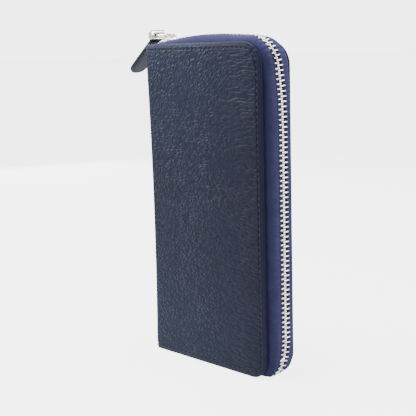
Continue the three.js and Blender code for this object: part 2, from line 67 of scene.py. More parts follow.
cover_low, cover_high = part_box("front_leather")
teeth_low, teeth_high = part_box("front_zip_teeth")
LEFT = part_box("spine_leather")[0].x    # outside of the spine
RIGHT = cover_high.x                   # zip side of the covers
HEIGHT = cover_high.z
HALF = -cover_low.y                    # from the middle to the outside of a cover
CORNER = 14.5 * MM                     # at the top of the zip side
FOOT_CORNER = 11.5 * MM                # and at its foot, where the leather is pulled tighter
CORNER_X = RIGHT - CORNER
FOOT_CORNER_X = RIGHT - FOOT_CORNER
ZIP_START = teeth_low.x
SIDE_BULGE = teeth_high.x - RIGHT      # how far the zip stands out at the side
FLOOR_GAP = 0.3 * MM
SLIDE_AXIS = Vector(next(j["axis"] for j in frame["record"]["behaviour"]["joints"]
                         if j["name"] == "slider_slide"))

# ---- Looks -----------------------------------------------------------------------------

SPINE_BOW = 2.2 * MM                   # the spine's edge is dished inward at half height
FOLD = 2.1 * MM                        # radius of the leather where it folds to the spine
STITCH_INSET = 3.4 * MM
STITCH_PITCH = 3.5 * MM
STITCH_LENGTH = 2.5 * MM
TOOTH_PITCH = 2.85 * MM
TOOTH_DEPTH = 1.9 * MM


def clamp(value, low=0.0, high=1.0):
    return max(low, min(high, value))


def smooth(value):
    value = clamp(value)
    return value * value * (3 - 2 * value)


def mix(a, b, t):
    return a + (b - a) * t


def srgb(red, green, painted_shade_blue):
    """A colour from 0 to 255 a channel, as the linear values that shaders take."""
    def linear(channel):
        value = channel / 255
        return value / 12.92 if value <= 0.04045 else ((value + 0.055) / 1.055) ** 2.4
    return (linear(red), linear(green), linear(painted_shade_blue), 1)


# ---- Shader helpers --------------------------------------------------------------------

class Shader:
    """A material whose nodes are added by short calls. A socket given as an input is linked."""

    def __init__(self, name):
        self.material = bpy.data.materials.new(name)
        self.material.use_nodes = True
        self.tree = self.material.node_tree
        self.tree.nodes.clear()
        self.output = self.tree.nodes.new("ShaderNodeOutputMaterial")

    def add(self, kind, inputs=None, **settings):
        made = self.tree.nodes.new("ShaderNode" + kind)
        for key, value in settings.items():
            setattr(made, key, value)
        for key, value in (inputs or {}).items():
            if isinstance(value, bpy.types.NodeSocket):
                self.tree.links.new(value, made.inputs[key])
            else:
                made.inputs[key].default_value = value
        return made

    def math(self, operation, a, b=0.0):
        return self.add("Math", {0: a, 1: b}, operation=operation).outputs[0]

    def wave(self, value, length):
        return self.math("SINE", self.math("MULTIPLY", value, 2 * math.pi / length))

    def vector(self, operation, a, b):
        return self.add("VectorMath", {0: a, 1: b}, operation=operation).outputs[0]

    def uv_mm(self):
        """The piece's own surface coordinates, in millimetres."""
        uv = self.add("TexCoord").outputs["UV"]
        return self.vector("MULTIPLY", uv, (1000, 1000, 1000))

    def object_mm(self):
        place = self.add("TexCoord").outputs["Object"]
        return self.vector("MULTIPLY", place, (1000, 1000, 1000))

    def noise(self, vector, scale, detail=2.0, roughness=0.5):
        inputs = {"Vector": vector, "Scale": scale, "Detail": detail, "Roughness": roughness}
        return self.add("TexNoise", inputs)

    def drift(self, vector, scale, detail, reach):
        """A slow wobble in X and Y, up to half of reach either way."""
        colour = self.noise(vector, scale, detail).outputs["Color"]
        centred = self.vector("SUBTRACT", colour, (0.5, 0.5, 0.5))
        return self.vector("MULTIPLY", centred, (reach, reach, 0))

    def ramp(self, value, stops):
        made = self.add("ValToRGB", {0: value})
        band = made.color_ramp
        while len(band.elements) < len(stops):
            band.elements.new(0.5)
        for element, (place, colour) in zip(band.elements, stops):
            element.position = place
            element.color = colour
        return made.outputs[0]

    def span(self, value, low, high, to_low=0.0, to_high=1.0):
        inputs = {0: value, 1: low, 2: high, 3: to_low, 4: to_high}
        return self.add("MapRange", inputs, interpolation_type="SMOOTHSTEP").outputs[0]

    def mixed(self, factor, a, b, blend="MIX"):
        made = self.add("Mix", {0: factor, 6: a, 7: b}, data_type="RGBA", blend_type=blend)
        return made.outputs[2]

    def bump(self, height, distance, strength=1.0, normal=None):
        inputs = {"Height": height, "Distance": distance, "Strength": strength}
        if normal is not None:
            inputs["Normal"] = normal
        return self.add("Bump", inputs).outputs[0]

    def surface(self, **inputs):
        names = {key.replace("_", " "): value for key, value in inputs.items()}
        made = self.add("BsdfPrincipled", names)
        self.tree.links.new(made.outputs[0], self.output.inputs[0])
        return self.material


def turned(shader, vector, degrees, stretch_x, stretch_y):
    """Coordinates in cells that are stretched along a slanting direction."""
    inputs = {"Vector": vector, "Rotation": (0, 0, math.radians(degrees)),
              "Scale": (stretch_x, stretch_y, 1)}
    return shader.add("Mapping", inputs, vector_type="TEXTURE").outputs[0]


def pebbles(shader, vector, degrees, stretch_x, stretch_y):
    """Rounded cells with creases between them: 0 in a crease, 1 on top of a pebble."""
    cells = turned(shader, vector, degrees, stretch_x, stretch_y)
    inputs = {"Vector": cells, "Scale": 1.0, "Randomness": 0.8}
    edge = shader.add("TexVoronoi", inputs, feature="DISTANCE_TO_EDGE").outputs["Distance"]
    centre = shader.add("TexVoronoi", inputs, feature="F1").outputs["Distance"]
    flank = shader.span(edge, 0.0, 0.36)
    crown = shader.span(centre, 0.9, 0.0)
    return shader.math("ADD", shader.math("MULTIPLY", flank, 0.8),
                       shader.math("MULTIPLY", crown, 0.2))


def edge_distance(shader, across, above):
    """How far, in millimetres, a place on a cover is from the cover's three open edges."""
    to_side = shader.math("SUBTRACT", (RIGHT - LEFT - FOLD) / MM, across)
    to_top = shader.math("SUBTRACT", HEIGHT / MM, above)
    return shader.math("MINIMUM", to_side, shader.math("MINIMUM", above, to_top))


def grained_leather(name, dark, light, pebble=2.4, relief=0.34, is_cover=False):
    """Pebbled leather: slanting pebbles at the top, long level ones by the zip."""
    s = Shader(name)
    place = s.uv_mm()
    drifted = s.vector("ADD", place, s.drift(place, 0.16, 2.0, 2.6))
    crumple = s.drift(place, 0.9, 1.0, 0.38)
    warped = s.vector("ADD", drifted, crumple)
    slanted = pebbles(s, warped, 50, pebble * 1.35, pebble * 0.8)
    level = pebbles(s, warped, 6, pebble * 1.3, pebble * 0.85)
    creased = turned(s, s.vector("ADD", place, crumple), -2, pebble * 2.2, pebble * 0.72)
    ridges = s.span(s.noise(creased, 1.0, 2.0, 0.45).outputs["Fac"], 0.34, 0.62)
    ridged = s.mixed(0.35, ridges, pebbles(s, warped, -2, pebble * 1.9, pebble * 0.8))
    parts = s.add("SeparateXYZ", {0: place})
    wander = s.math("MULTIPLY", s.noise(place, 0.05, 1.0).outputs["Fac"], 40.0)
    across = s.math("ADD", parts.outputs[0], wander)
    above = s.math("ADD", parts.outputs[1], wander)
    grain = s.mixed(s.span(above, 165, 195), level, slanted)
    grain = s.mixed(s.span(across, 66, 104), grain, ridged)
    if is_cover:
        rim = s.span(edge_distance(s, parts.outputs[0], parts.outputs[1]), 1.8, 4.4, 0.35, 1)
        grain = s.mixed(rim, (0.6, 0.6, 0.6, 1), grain)
    fine = s.noise(place, 2.2, 3.0, 0.6).outputs["Fac"]
    patch = s.noise(place, 0.045, 2.0).outputs["Fac"]
    depth = s.math("MULTIPLY", grain, s.span(patch, 0.25, 0.75, 0.75, 1.15))
    # painted shade and painted light: darker in the creases, lighter on the pebbles' tops, with a little
    # fine random tone
    colour = s.ramp(s.math("ADD", grain, s.math("MULTIPLY", fine, 0.2)),
                    [(0.10, dark), (0.85, light), (1.0, light)])
    if is_cover:                       # painted shade: darker by the zip and at mid height, lighter at the top and foot
        from_middle = s.math("ABSOLUTE", s.math("SUBTRACT", parts.outputs[1], 95.0))
        painted_shade = s.math("MULTIPLY", s.span(parts.outputs[0], 30, 92, 1.0, 0.36),
                      s.span(from_middle, 20, 95, 0.72, 1.05))
        painted_shade_blue = s.math("ADD", s.math("MULTIPLY", painted_shade, 0.75), 0.25)
        painted_shade_tint = s.add("CombineXYZ", {0: painted_shade, 1: painted_shade, 2: painted_shade_blue}).outputs[0]
        colour = s.vector("MULTIPLY", colour, painted_shade_tint)
    normal = s.bump(fine, 0.00008, 0.5)
    normal = s.bump(depth, relief * MM, 1.0, normal)
    return s.surface(Base_Color=colour, Roughness=s.span(patch, 0.3, 0.7, 0.50, 0.42),
                     Normal=normal, Specular_IOR_Level=0.16)


def smooth_leather(name, dark, light):
    s = Shader(name)
    place = s.uv_mm()
    grain = pebbles(s, place, 15, 1.0, 0.8)
    patch = s.noise(place, 0.08, 3.0).outputs["Fac"]
    fine = s.noise(place, 4.0, 2.0).outputs["Fac"]
    colour = s.mixed(s.span(patch, 0.3, 0.7), dark, light)
    normal = s.bump(s.math("ADD", grain, s.math("MULTIPLY", fine, 0.5)), 0.00010, 0.6)
    return s.surface(Base_Color=colour, Roughness=s.span(patch, 0.3, 0.7, 0.5, 0.42),
                     Normal=normal, Specular_IOR_Level=0.4)


def herringbone_cloth(name, dark, light, thread=0.42, rib=3.2, ribs_and_painted_shade=False):
    """Woven tape: slanting threads that turn back every rib, so they make arrow heads.
    With ribs it is pinched at each tooth, and painted shade darkens it where it tucks in behind the
    leather."""
    s = Shader(name)
    place = s.uv_mm()
    parts = s.add("SeparateXYZ", {0: place})
    along, across = parts.outputs[0], parts.outputs[1]
    zigzag = s.math("PINGPONG", across, rib / 2)
    slant = s.math("ADD", along, zigzag)
    twill = s.wave(slant, thread * 2)
    weft = s.wave(across, thread)
    weave = s.math("ADD", s.math("MULTIPLY", twill, 0.35), s.math("MULTIPLY", weft, 0.15))
    weave = s.math("ADD", weave, 0.5)
    fuzz = s.noise(place, 2.5, 3.0, 0.7).outputs["Fac"]
    soil = s.noise(place, 0.12, 3.0).outputs["Fac"]
    shade = s.math("ADD", s.math("MULTIPLY", weave, 0.55), s.math("MULTIPLY", soil, 0.45))
    colour = s.mixed(s.span(shade, 0.2, 0.8), dark, light)
    normal = s.bump(s.math("ADD", weave, s.math("MULTIPLY", fuzz, 0.4)), 0.10 * MM, 0.8)
    if ribs_and_painted_shade:
        pinch = s.math("MULTIPLY", s.wave(along, TOOTH_PITCH / MM), s.span(across, 6.0, 12.0))
        normal = s.bump(pinch, 0.25 * MM, 0.8, normal)
        # painted shade where the tape tucks in behind the leather
        colour = s.mixed(s.span(across, 3.8, 5.6, 0.6, 0.0), colour, dark)
    return s.surface(Base_Color=colour, Roughness=0.82, Normal=normal, Sheen_Weight=0.6,
                     Sheen_Roughness=0.45, Sheen_Tint=light, Specular_IOR_Level=0.2)


def plain_cloth(name, dark, light):
    s = Shader(name)
    place = s.uv_mm()
    parts = s.add("SeparateXYZ", {0: place})
    thread = 0.5
    warp = s.wave(parts.outputs[0], thread)
    weft = s.wave(parts.outputs[1], thread)
    weave = s.math("ADD", s.math("MULTIPLY", s.math("MULTIPLY", warp, weft), 0.5), 0.5)
    soil = s.noise(place, 0.1, 3.0).outputs["Fac"]
    colour = s.mixed(s.math("MULTIPLY", s.math("ADD", weave, soil), 0.5), dark, light)
    normal = s.bump(weave, 0.00008, 0.7)
    return s.surface(Base_Color=colour, Roughness=0.8, Normal=normal, Sheen_Weight=0.4,
                     Sheen_Roughness=0.4, Sheen_Tint=light)


def polished_metal(name, colour, roughness=0.16):
    s = Shader(name)
    place = s.object_mm()
    smear = s.noise(place, 0.5, 3.0).outputs["Fac"]
    scratch = s.noise(s.vector("MULTIPLY", place, (9, 1.2, 9)), 1.0, 2.0).outputs["Fac"]
    wear = s.math("ADD", s.math("MULTIPLY", smear, 0.6), s.math("MULTIPLY", scratch, 0.4))
    tint = s.mixed(wear, colour, tuple(value * 0.86 for value in colour[:3]) + (1,))
    normal = s.bump(scratch, 0.00001, 0.35)
    rough = s.span(wear, 0.3, 0.7, roughness * 0.7, roughness * 1.7)
    return s.surface(Base_Color=tint, Metallic=1.0, Roughness=rough, Normal=normal)


def twisted_thread(name, dark, light):
    s = Shader(name)
    place = s.uv_mm()
    parts = s.add("SeparateXYZ", {0: place})
    turn = s.math("ADD", s.math("MULTIPLY", parts.outputs[0], 5.0),
                  s.math("MULTIPLY", parts.outputs[1], 6.0))
    ply = s.math("ADD", s.math("MULTIPLY", s.math("SINE", turn), 0.5), 0.5)
    normal = s.bump(ply, 0.00008, 0.7)
    return s.surface(Base_Color=s.mixed(ply, dark, light), Roughness=0.6, Normal=normal,
                     Sheen_Weight=0.3, Sheen_Tint=light)


def raw_board(name):
    s = Shader(name)
    place = s.object_mm()
    fibre = s.noise(s.vector("MULTIPLY", place, (0.4, 1, 2.2)), 1.2, 4.0).outputs["Fac"]
    colour = s.mixed(fibre, srgb(150, 136, 110), srgb(186, 172, 146))
    return s.surface(Base_Color=colour, Roughness=0.9, Normal=s.bump(fibre, 0.0001, 0.5))


COVER_LEATHER = grained_leather("cover_leather", srgb(17, 25, 43), srgb(27, 38, 65),
                                is_cover=True)
TAB_LEATHER = grained_leather("tab_leather", srgb(32, 38, 55), srgb(41, 48, 68), 1.2, 0.10)
INNER_LEATHER = smooth_leather("inner_leather", srgb(38, 43, 60), srgb(50, 56, 76))
TAPE_CLOTH = herringbone_cloth("zip_tape", srgb(34, 34, 64), srgb(57, 58, 98), ribs_and_painted_shade=True)
COIN_TAPE_CLOTH = herringbone_cloth("coin_zip_tape", srgb(30, 32, 62), srgb(50, 53, 92), 0.4, 2.0)
LINING_CLOTH = plain_cloth("lining_cloth", srgb(34, 39, 66), srgb(52, 58, 92))
THREAD = twisted_thread("thread", srgb(9, 11, 22), srgb(24, 27, 44))
TEETH_METAL = polished_metal("teeth_metal", srgb(236, 234, 228), 0.2)
SLIDER_METAL = polished_metal("slider_metal", srgb(238, 236, 230), 0.12)
COIN_METAL = polished_metal("coin_metal", srgb(226, 226, 224), 0.18)
BOARD = raw_board("board")

# ---- Mesh helpers ----------------------------------------------------------------------


def settle(point):
    """The worn-in shape: the spine's edge is dished inward."""
    x, y, z = point
    level = clamp(z / HEIGHT)
    near_spine = math.exp(-max(x - LEFT, 0) / (14 * MM))
    bow = SPINE_BOW * (1 - (2 * level - 1) ** 2) * near_spine
    return Vector((x + bow, y, z))


def make_object(name, bm, material, shade_smooth=True):
    mesh = bpy.data.meshes.new(name)
    bm.to_mesh(mesh)
    bm.free()
    mesh.materials.append(material)
    for polygon in mesh.polygons:
        polygon.use_smooth = shade_smooth
    made = bpy.data.objects.new(name, mesh)
    bpy.context.scene.collection.objects.link(made)
    return made


def add_grid(bm, rings, closed=False, caps=False):
    """Quads through rings of (point, surface coordinates) pairs. closed joins each ring's
    ends, and caps closes the first and last ring."""
    layer = bm.loops.layers.uv.verify()
    verts = [[bm.verts.new(point) for point, uv in ring] for ring in rings]
    width = len(rings[0])
    last = width if closed else width - 1
    for r in range(len(rings) - 1):
        for c in range(last):
            d = (c + 1) % width
            corners = [(r, c), (r, d), (r + 1, d), (r + 1, c)]
            face = bm.faces.new([verts[i][j] for i, j in corners])
            for loop, (i, j) in zip(face.loops, corners):
                loop[layer].uv = rings[i][j][1]
    if caps:
        for r in (0, len(rings) - 1):
            face = bm.faces.new(verts[r])
            for loop, (point, uv) in zip(face.loops, rings[r]):
                loop[layer].uv = uv


def closed_pieces(name, bm, material):
    """An object whose closed pieces all have their faces turned outward."""
    bmesh.ops.recalc_face_normals(bm, faces=bm.faces)
    return make_object(name, bm, material)


def grid_object(name, rings, material, closed=False, caps=False, merge=0.0):
    bm = bmesh.new()
    add_grid(bm, rings, closed, caps)
    if merge:
        bmesh.ops.remove_doubles(bm, verts=bm.verts, dist=merge)
        bmesh.ops.dissolve_degenerate(bm, edges=bm.edges, dist=merge)
    return closed_pieces(name, bm, material)


def line_points(a, b, count):
    """Evenly spaced points from a to b, without b."""
    return [tuple(mix(p, q, i / count) for p, q in zip(a, b)) for i in range(count)]


def arc_points(centre, radius, start, end, count):
    """Points round an arc, in degrees, without its end."""
    points = []
    for i in range(count):
        turn = math.radians(mix(start, end, i / count))
        points.append((centre[0] + radius * math.cos(turn), centre[1] + radius * math.sin(turn)))
    return points


def prism(bm, outline, low, high, bevel=0.0, segments=2):
    """An outline in X and Y, raised from low to high in Z, with its edges rounded."""
    before = set(bm.verts)
    base = [bm.verts.new((x, y, low)) for x, y in outline]
    top = [bm.verts.new((x, y, high)) for x, y in outline]
    faces = [bm.faces.new(base[::-1]), bm.faces.new(top)]
    count = len(outline)
    for i in range(count):
        j = (i + 1) % count
        faces.append(bm.faces.new([base[i], base[j], top[j], top[i]]))
    if bevel:
        # each edge once, in the order of the faces
        edges = list(dict.fromkeys(edge for face in faces for edge in face.edges))
        bmesh.ops.bevel(bm, geom=edges, offset=bevel, segments=segments, profile=0.5,
                        affect="EDGES", clamp_overlap=True)
    return [vert for vert in bm.verts if vert not in before]


def box_prism(bm, low, high, bevel=0.0, segments=2):
    outline = [(low[0], low[1]), (high[0], low[1]), (high[0], high[1]), (low[0], high[1])]
    return prism(bm, outline, low[2], high[2], bevel, segments)


def map_uv(bm):
    """Surface coordinates by the face's main direction, for pieces made of blocks."""
    layer = bm.loops.layers.uv.verify()
    bm.normal_update()
    for face in bm.faces:
        axis = max(range(3), key=lambda k: abs(face.normal[k]))
        keep = [k for k in range(3) if k != axis]
        for loop in face.loops:
            loop[layer].uv = (loop.vert.co[keep[0]], loop.vert.co[keep[1]])


# ---- Outlines of the covers --------------------------------------------------------------


def u_path(x_inset, z_inset, foot_radius, radius, left):
    """Points from the spine along the foot, up the zip side and back along the top."""
    x1 = RIGHT - x_inset
    z0 = z_inset
    z1 = HEIGHT - z_inset
    foot = line_points((left, z0), (x1 - foot_radius, z0), 34)
    low_corner = arc_points((x1 - foot_radius, z0 + foot_radius), foot_radius, -90, 0, 14)
    side = line_points((x1, z0 + foot_radius), (x1, z1 - radius), 62)
    high_corner = arc_points((x1 - radius, z1 - radius), radius, 0, 90, 14)
    top = line_points((x1 - radius, z1), (left, z1), 34)
    return foot + low_corner + side + high_corner + top + [(left, z1)]


def resample(points, spacing):
    """Points at an even spacing along a polyline, each with its direction."""
    lengths = [0.0]
    for a, b in zip(points, points[1:]):
        lengths.append(lengths[-1] + (Vector(b) - Vector(a)).length)
    count = max(int(lengths[-1] / spacing), 1)
    result = []
    segment = 0
    for i in range(count):
        wanted = (i + 0.5) * lengths[-1] / count
        while lengths[segment + 1] < wanted:
            segment += 1
        a, b = Vector(points[segment]), Vector(points[segment + 1])
        share = (wanted - lengths[segment]) / (lengths[segment + 1] - lengths[segment])
        result.append((a.lerp(b, share), (b - a).normalized()))
    return result


# ---- Outer leather -------------------------------------------------------------------------

# Inset from the edge, and depth below the outer face, in millimetres: the rolled edge, the
# crease beside the stitching, the channel that the stitches lie in, and the padded field.
EDGE_PROFILE = [(0.20, 1.30), (0.04, 1.08), (0.0, 0.86), (0.08, 0.64), (0.35, 0.46), (0.9, 0.33),
                (1.6, 0.22), (2.1, 0.13), (2.5, 0.05), (2.75, 0.05), (3.0, 0.2), (3.2, 0.36),
                (3.4, 0.40), (3.6, 0.36), (3.8, 0.15), (4.05, -0.02), (4.6, -0.06), (6.5, -0.10),
                (9.0, -0.13), (12.0, -0.15)]
BACK_PROFILE = [(12.0, 1.40), (6.0, 1.40), (2.0, 1.40), (0.6, 1.38)]
FIELD_RINGS = 22


def field_rings(depth):
    """Insets across and up that carry on from the edge to the middle of the spine's side."""
    rings = []
    for i in range(1, FIELD_RINGS + 1):
        t = i / FIELD_RINGS
        x_inset = mix(12 * MM, RIGHT - LEFT - FOLD, t)
        z_inset = mix(12 * MM, HEIGHT / 2, t)
        rings.append((x_inset, z_inset, depth * MM))
    return rings


def leather_rings():
    edge = [(inset * MM, inset * MM, depth * MM) for inset, depth in EDGE_PROFILE]
    back = [(inset * MM, inset * MM, depth * MM) for inset, depth in BACK_PROFILE]
    return field_rings(1.40)[::-1] + back + edge + field_rings(-0.15)


def wrap_points(side, to_far_side):
    """The leather round the fold: place across, depth, normal and length left to the cover."""
    centre = (LEFT + FOLD, side * (HALF - FOLD))
    turn_steps = 8
    points = []
    for i in range(turn_steps):
        turn = i / turn_steps * math.pi / 2
        normal = (-math.cos(turn), side * math.sin(turn))
        place = (centre[0] + FOLD * normal[0], centre[1] + FOLD * normal[1])
        points.append((place, normal, -(math.pi / 2 - turn) * FOLD))
    if to_far_side:
        flat_steps = 12
        span = 2 * (HALF - FOLD)
        flat = []
        for i in range(flat_steps):
            y = mix(-side * (HALF - FOLD), side * (HALF - FOLD), i / flat_steps)
            run = -FOLD * math.pi / 2 - span * (1 - i / flat_steps)
            flat.append(((LEFT, y), (-1.0, 0.0), run))
        points = flat + points
    return points


def leather_cover(name, side, to_far_side):
    """One sheet of leather: a cover with its rolled edge, and the fold round to the spine."""
    left = LEFT + FOLD
    wrap = wrap_points(side, to_far_side)
    rings = []
    for x_inset, z_inset, depth in leather_rings():
        most = max(min(HEIGHT / 2 - z_inset, RIGHT - x_inset - left) * 0.9, 0.0)
        foot_radius = min(FOOT_CORNER - min(x_inset, 6 * MM), most)
        radius = min(CORNER - min(x_inset, 6 * MM), most)
        ring = []
        z0, z1 = z_inset, HEIGHT - z_inset
        for z, order in ((z0, wrap), (z1, wrap[::-1])):
            for (x, y), (nx, ny), run in order:
                ring.append((settle((x - nx * depth, y - ny * depth, z)), (run, z)))
            if order is wrap:          # the open sides come between the foot and the top
                for x, path_z in u_path(x_inset, z_inset, foot_radius, radius, left):
                    lump = 0.0
                    if depth < 0:
                        lump = noise.noise(Vector((x * 38, side * 3.0, path_z * 26))) * 0.22 * MM
                    y = side * (HALF - depth + lump)
                    ring.append((settle((x, y, path_z)), (x - left, path_z)))
        rings.append(ring)
    return grid_object(name, rings, COVER_LEATHER, merge=1e-6)


# ---- Stitching -----------------------------------------------------------------------------


def add_stitch(bm, middle, along, normal, length, thickness=0.55 * MM):
    """One stitch: a short plump thread whose ends dive into the leather."""
    sideways = along.cross(normal).normalized()
    steps = 6
    around = 6
    rings = []
    for i in range(steps + 1):
        t = i / steps * 2 - 1
        sink = thickness * 0.55 * abs(t) ** 3
        plump = thickness / 2 * math.sqrt(max(1 - abs(t) ** 4, 0.02))
        centre = middle + along * (t * length / 2) - normal * sink
        ring = []
        for k in range(around):
            turn = 2 * math.pi * k / around
            skin = centre + (sideways * math.cos(turn) + normal * math.sin(turn)) * plump
            ring.append((skin, (t * length / 2, k / around * thickness)))
        rings.append(ring)
    add_grid(bm, rings, closed=True, caps=True)


def cover_stitching(name, side):
    """Slightly leaning stitches in the channel round a cover's three open sides."""
    path = u_path(STITCH_INSET, STITCH_INSET, FOOT_CORNER - STITCH_INSET,
                  CORNER - STITCH_INSET, LEFT + 3.5 * MM)
    y = side * (HALF - 0.22 * MM)
    normal = Vector((0, side, 0))
    lean = Matrix.Rotation(math.radians(6), 3, normal)
    bm = bmesh.new()
    for point, direction in resample([Vector((x, y, z)) for x, z in path], STITCH_PITCH):
        add_stitch(bm, settle(point), lean @ direction, normal, STITCH_LENGTH)
    return closed_pieces(name, bm, THREAD)


# ---- Zip: its path, tapes and teeth -----------------------------------------------------------

TOP_RUN = CORNER_X - ZIP_START
FOOT_RUN = FOOT_CORNER_X - ZIP_START
CORNER_RUN = CORNER * math.pi / 2
FOOT_CORNER_RUN = FOOT_CORNER * math.pi / 2
SIDE_RUN = HEIGHT - CORNER - FOOT_CORNER
PATH_LENGTH = TOP_RUN + CORNER_RUN + SIDE_RUN + FOOT_CORNER_RUN + FOOT_RUN
TOP_BULGE = (1.2 * MM, 3.4 * MM)       # beside the spine, and at the corner
TOP_HUMP = 2.6 * MM                    # how much more the zip rises between the two
CORNER_BULGE = 3.9 * MM                # at the side end of the top corner
SWAY = -2.7 * MM                       # the teeth lie nearer to the front at that corner
FOOT_SWAY = -4.2 * MM                  # and nearer still at the foot


def zip_station(distance):
    """The covers' edge at a distance from the spine's top end: point, outward, bulge."""
    if distance < TOP_RUN:
        share = distance / TOP_RUN
        hump = TOP_HUMP * math.sin(math.pi * share)
        bulge = mix(TOP_BULGE[0], TOP_BULGE[1], share) + hump
        return Vector((ZIP_START + distance, 0, HEIGHT)), Vector((0, 0, 1)), bulge
    distance -= TOP_RUN
    if distance < CORNER_RUN:
        bulge = mix(TOP_BULGE[1], CORNER_BULGE, distance / CORNER_RUN)
        centre = Vector((CORNER_X, 0, HEIGHT - CORNER))
        return corner_station(centre, CORNER, math.pi / 2 - distance / CORNER, bulge)
    distance -= CORNER_RUN
    if distance < SIDE_RUN:
        bulge = mix(CORNER_BULGE, SIDE_BULGE, smooth(distance / (34 * MM)))
        return Vector((RIGHT, 0, HEIGHT - CORNER - distance)), Vector((1, 0, 0)), bulge
    distance -= SIDE_RUN
    if distance < FOOT_CORNER_RUN:
        turn = -distance / FOOT_CORNER
        drop = max(math.sin(-turn), 0.001)
        reach = (FOOT_CORNER - FLOOR_GAP) / drop - FOOT_CORNER + FLOOR_GAP * 2
        soft = (SIDE_BULGE ** -3 + max(reach, 0.2 * MM) ** -3) ** (-1 / 3)
        centre = Vector((FOOT_CORNER_X, 0, FOOT_CORNER))
        return corner_station(centre, FOOT_CORNER, turn, soft - FLOOR_GAP * 2)
    distance -= FOOT_CORNER_RUN
    return Vector((FOOT_CORNER_X - distance, 0, 0)), Vector((0, 0, -1)), -FLOOR_GAP


def corner_station(centre, radius, turn, bulge):
    outward = Vector((math.cos(turn), 0, math.sin(turn)))
    return centre + outward * radius, outward, bulge


def zip_sway(distance):
    """How far the teeth lie from the middle of the thickness near the two corners."""
    rise = smooth((distance - TOP_RUN + 6 * MM) / (15 * MM))
    fall = smooth((distance - TOP_RUN - 10 * MM) / (30 * MM))
    past_side = distance - TOP_RUN - CORNER_RUN - SIDE_RUN
    foot_rise = smooth((past_side + 12 * MM) / (26 * MM))
    foot_fall = smooth((past_side - 20 * MM) / (40 * MM))
    return SWAY * rise * (1 - fall) + FOOT_SWAY * foot_rise * (1 - foot_fall)


def tape_middle(bulge):
    """The tape's section from its tucked edge to the teeth: out from the cover, and depth."""
    tucked = 10.95 * MM
    root = -1.0 * MM
    root_depth = 9.7 * MM
    flat = 5.2 * MM
    crest = bulge - TOOTH_DEPTH / 2
    points = [(-5 * MM, tucked), (-2.4 * MM, tucked), (-1.5 * MM, 10.5 * MM)]
    steps = 9
    for i in range(steps + 1):
        turn = i / steps * math.pi / 2
        points.append((mix(root, crest, math.sin(turn)),
                       mix(flat, root_depth, math.cos(turn) ** 0.9)))
    points.append((crest, 4.4 * MM))
    points.append((crest, 3.9 * MM))
    return points


def beside(points, i, distance):
    a = Vector(points[max(i - 1, 0)])
    b = Vector(points[min(i + 1, len(points) - 1)])
    along = (b - a).normalized()
    return (points[i][0] - along.y * distance, points[i][1] + along.x * distance)


def zip_tape(name, side):
    """A tape swept round the three open sides, with a corded edge under the teeth."""
    rings = []
    steps = 900
    half = 0.3 * MM                    # half the tape's thickness
    bead_from_middle = 3.1 * MM
    phase = 0.5 if side < 0 else 0.0   # the two rows of teeth alternate
    for i in range(steps + 1):
        distance = PATH_LENGTH * i / steps
        point, outward, bulge = zip_station(distance)
        middle = tape_middle(bulge)
        ripple = noise.noise(Vector((distance * 60, side * 2.0, 0))) * 0.15 * MM
        cord = (0.82 + 0.26 * math.cos(2 * math.pi * (distance / TOOTH_PITCH + phase))) * MM
        upper = [beside(middle, k, half) for k in range(len(middle))]
        lower = [beside(middle, k, -half) for k in range(len(middle))]
        crest = middle[-1][0]
        bead = []
        for k in range(7):
            turn = math.radians(130 - k * 260 / 6)
            bead.append((crest + cord * math.sin(turn), bead_from_middle - cord * math.cos(turn)))
        section = upper + bead + lower[::-1]
        ring = []
        travelled = 0.0
        previous = section[0]
        for out, y in section:
            travelled += math.hypot(out - previous[0], y - previous[1])
            previous = (out, y)
            free = smooth((out + 1 * MM) / (3 * MM)) * smooth((y - 3.5 * MM) / (2 * MM))
            place = point + outward * (out + ripple * free)
            pulled = zip_sway(distance) * smooth((10.6 * MM - y) / (7 * MM))
            ring.append((settle((place.x, side * y + pulled, place.z)), (distance, travelled)))
        rings.append(ring)
    return grid_object(name, rings, TAPE_CLOTH, closed=True, caps=True)


# One tooth, from its root on the tape to its head: place across, width along the chain and
# depth, in millimetres. The head swells so that it locks between two heads opposite.
TOOTH_RINGS = [(-3.50, 0.60, 1.30), (-3.36, 0.88, 1.78), (-2.9, 0.98, 1.92), (-1.6, 0.96, 1.86),
               (-0.95, 0.86, 1.62), (-0.45, 1.10, 1.50), (0.05, 1.38, 1.46), (0.5, 1.28, 1.36),
               (0.85, 0.90, 1.0), (0.95, 0.5, 0.6)]


TOOTH_CUT = 0.42                       # how much of each half side the bevelled corners take
TOOTH_CORNERS = [(1, 1 - TOOTH_CUT), (1 - TOOTH_CUT, 1), (TOOTH_CUT - 1, 1), (-1, 1 - TOOTH_CUT),
                 (-1, TOOTH_CUT - 1), (TOOTH_CUT - 1, -1), (1 - TOOTH_CUT, -1), (1, TOOTH_CUT - 1)]


def add_tooth(bm, centre, along, outward, side, scale=1.0):
    across = along.cross(outward) * side
    rings = []
    for place, width, depth in TOOTH_RINGS:
        half_w = width / 2 * MM * scale
        half_d = depth / 2 * MM * scale
        middle = centre + across * (place * MM * scale)
        rings.append([(middle + along * (u * half_w) + outward * (v * half_d),
                       (place * MM, u * half_w)) for u, v in TOOTH_CORNERS])
    add_grid(bm, rings, closed=True, caps=True)


def chain_places():
    """Evenly spaced places along the teeth's middle, with direction and outward."""
    ridge = []
    steps = 1500
    for i in range(steps + 1):
        distance = PATH_LENGTH * i / steps
        point, outward, bulge = zip_station(distance)
        sideways = Vector((0, zip_sway(distance), 0))
        ridge.append(settle(point + outward * (bulge - TOOTH_DEPTH / 2) + sideways))
    places = []
    for point, along in resample(ridge, TOOTH_PITCH / 2):
        places.append((point, along, Vector((0, 1, 0)).cross(along).normalized()))
    return places


def zip_teeth(name, side):
    bm = bmesh.new()
    for i, (point, along, outward) in enumerate(chain_places()):
        if (i % 2 == 0) == (side < 0):
            add_tooth(bm, point, along, outward, side)
    return closed_pieces(name, bm, TEETH_METAL)


# ---- Slider --------------------------------------------------------------------------------


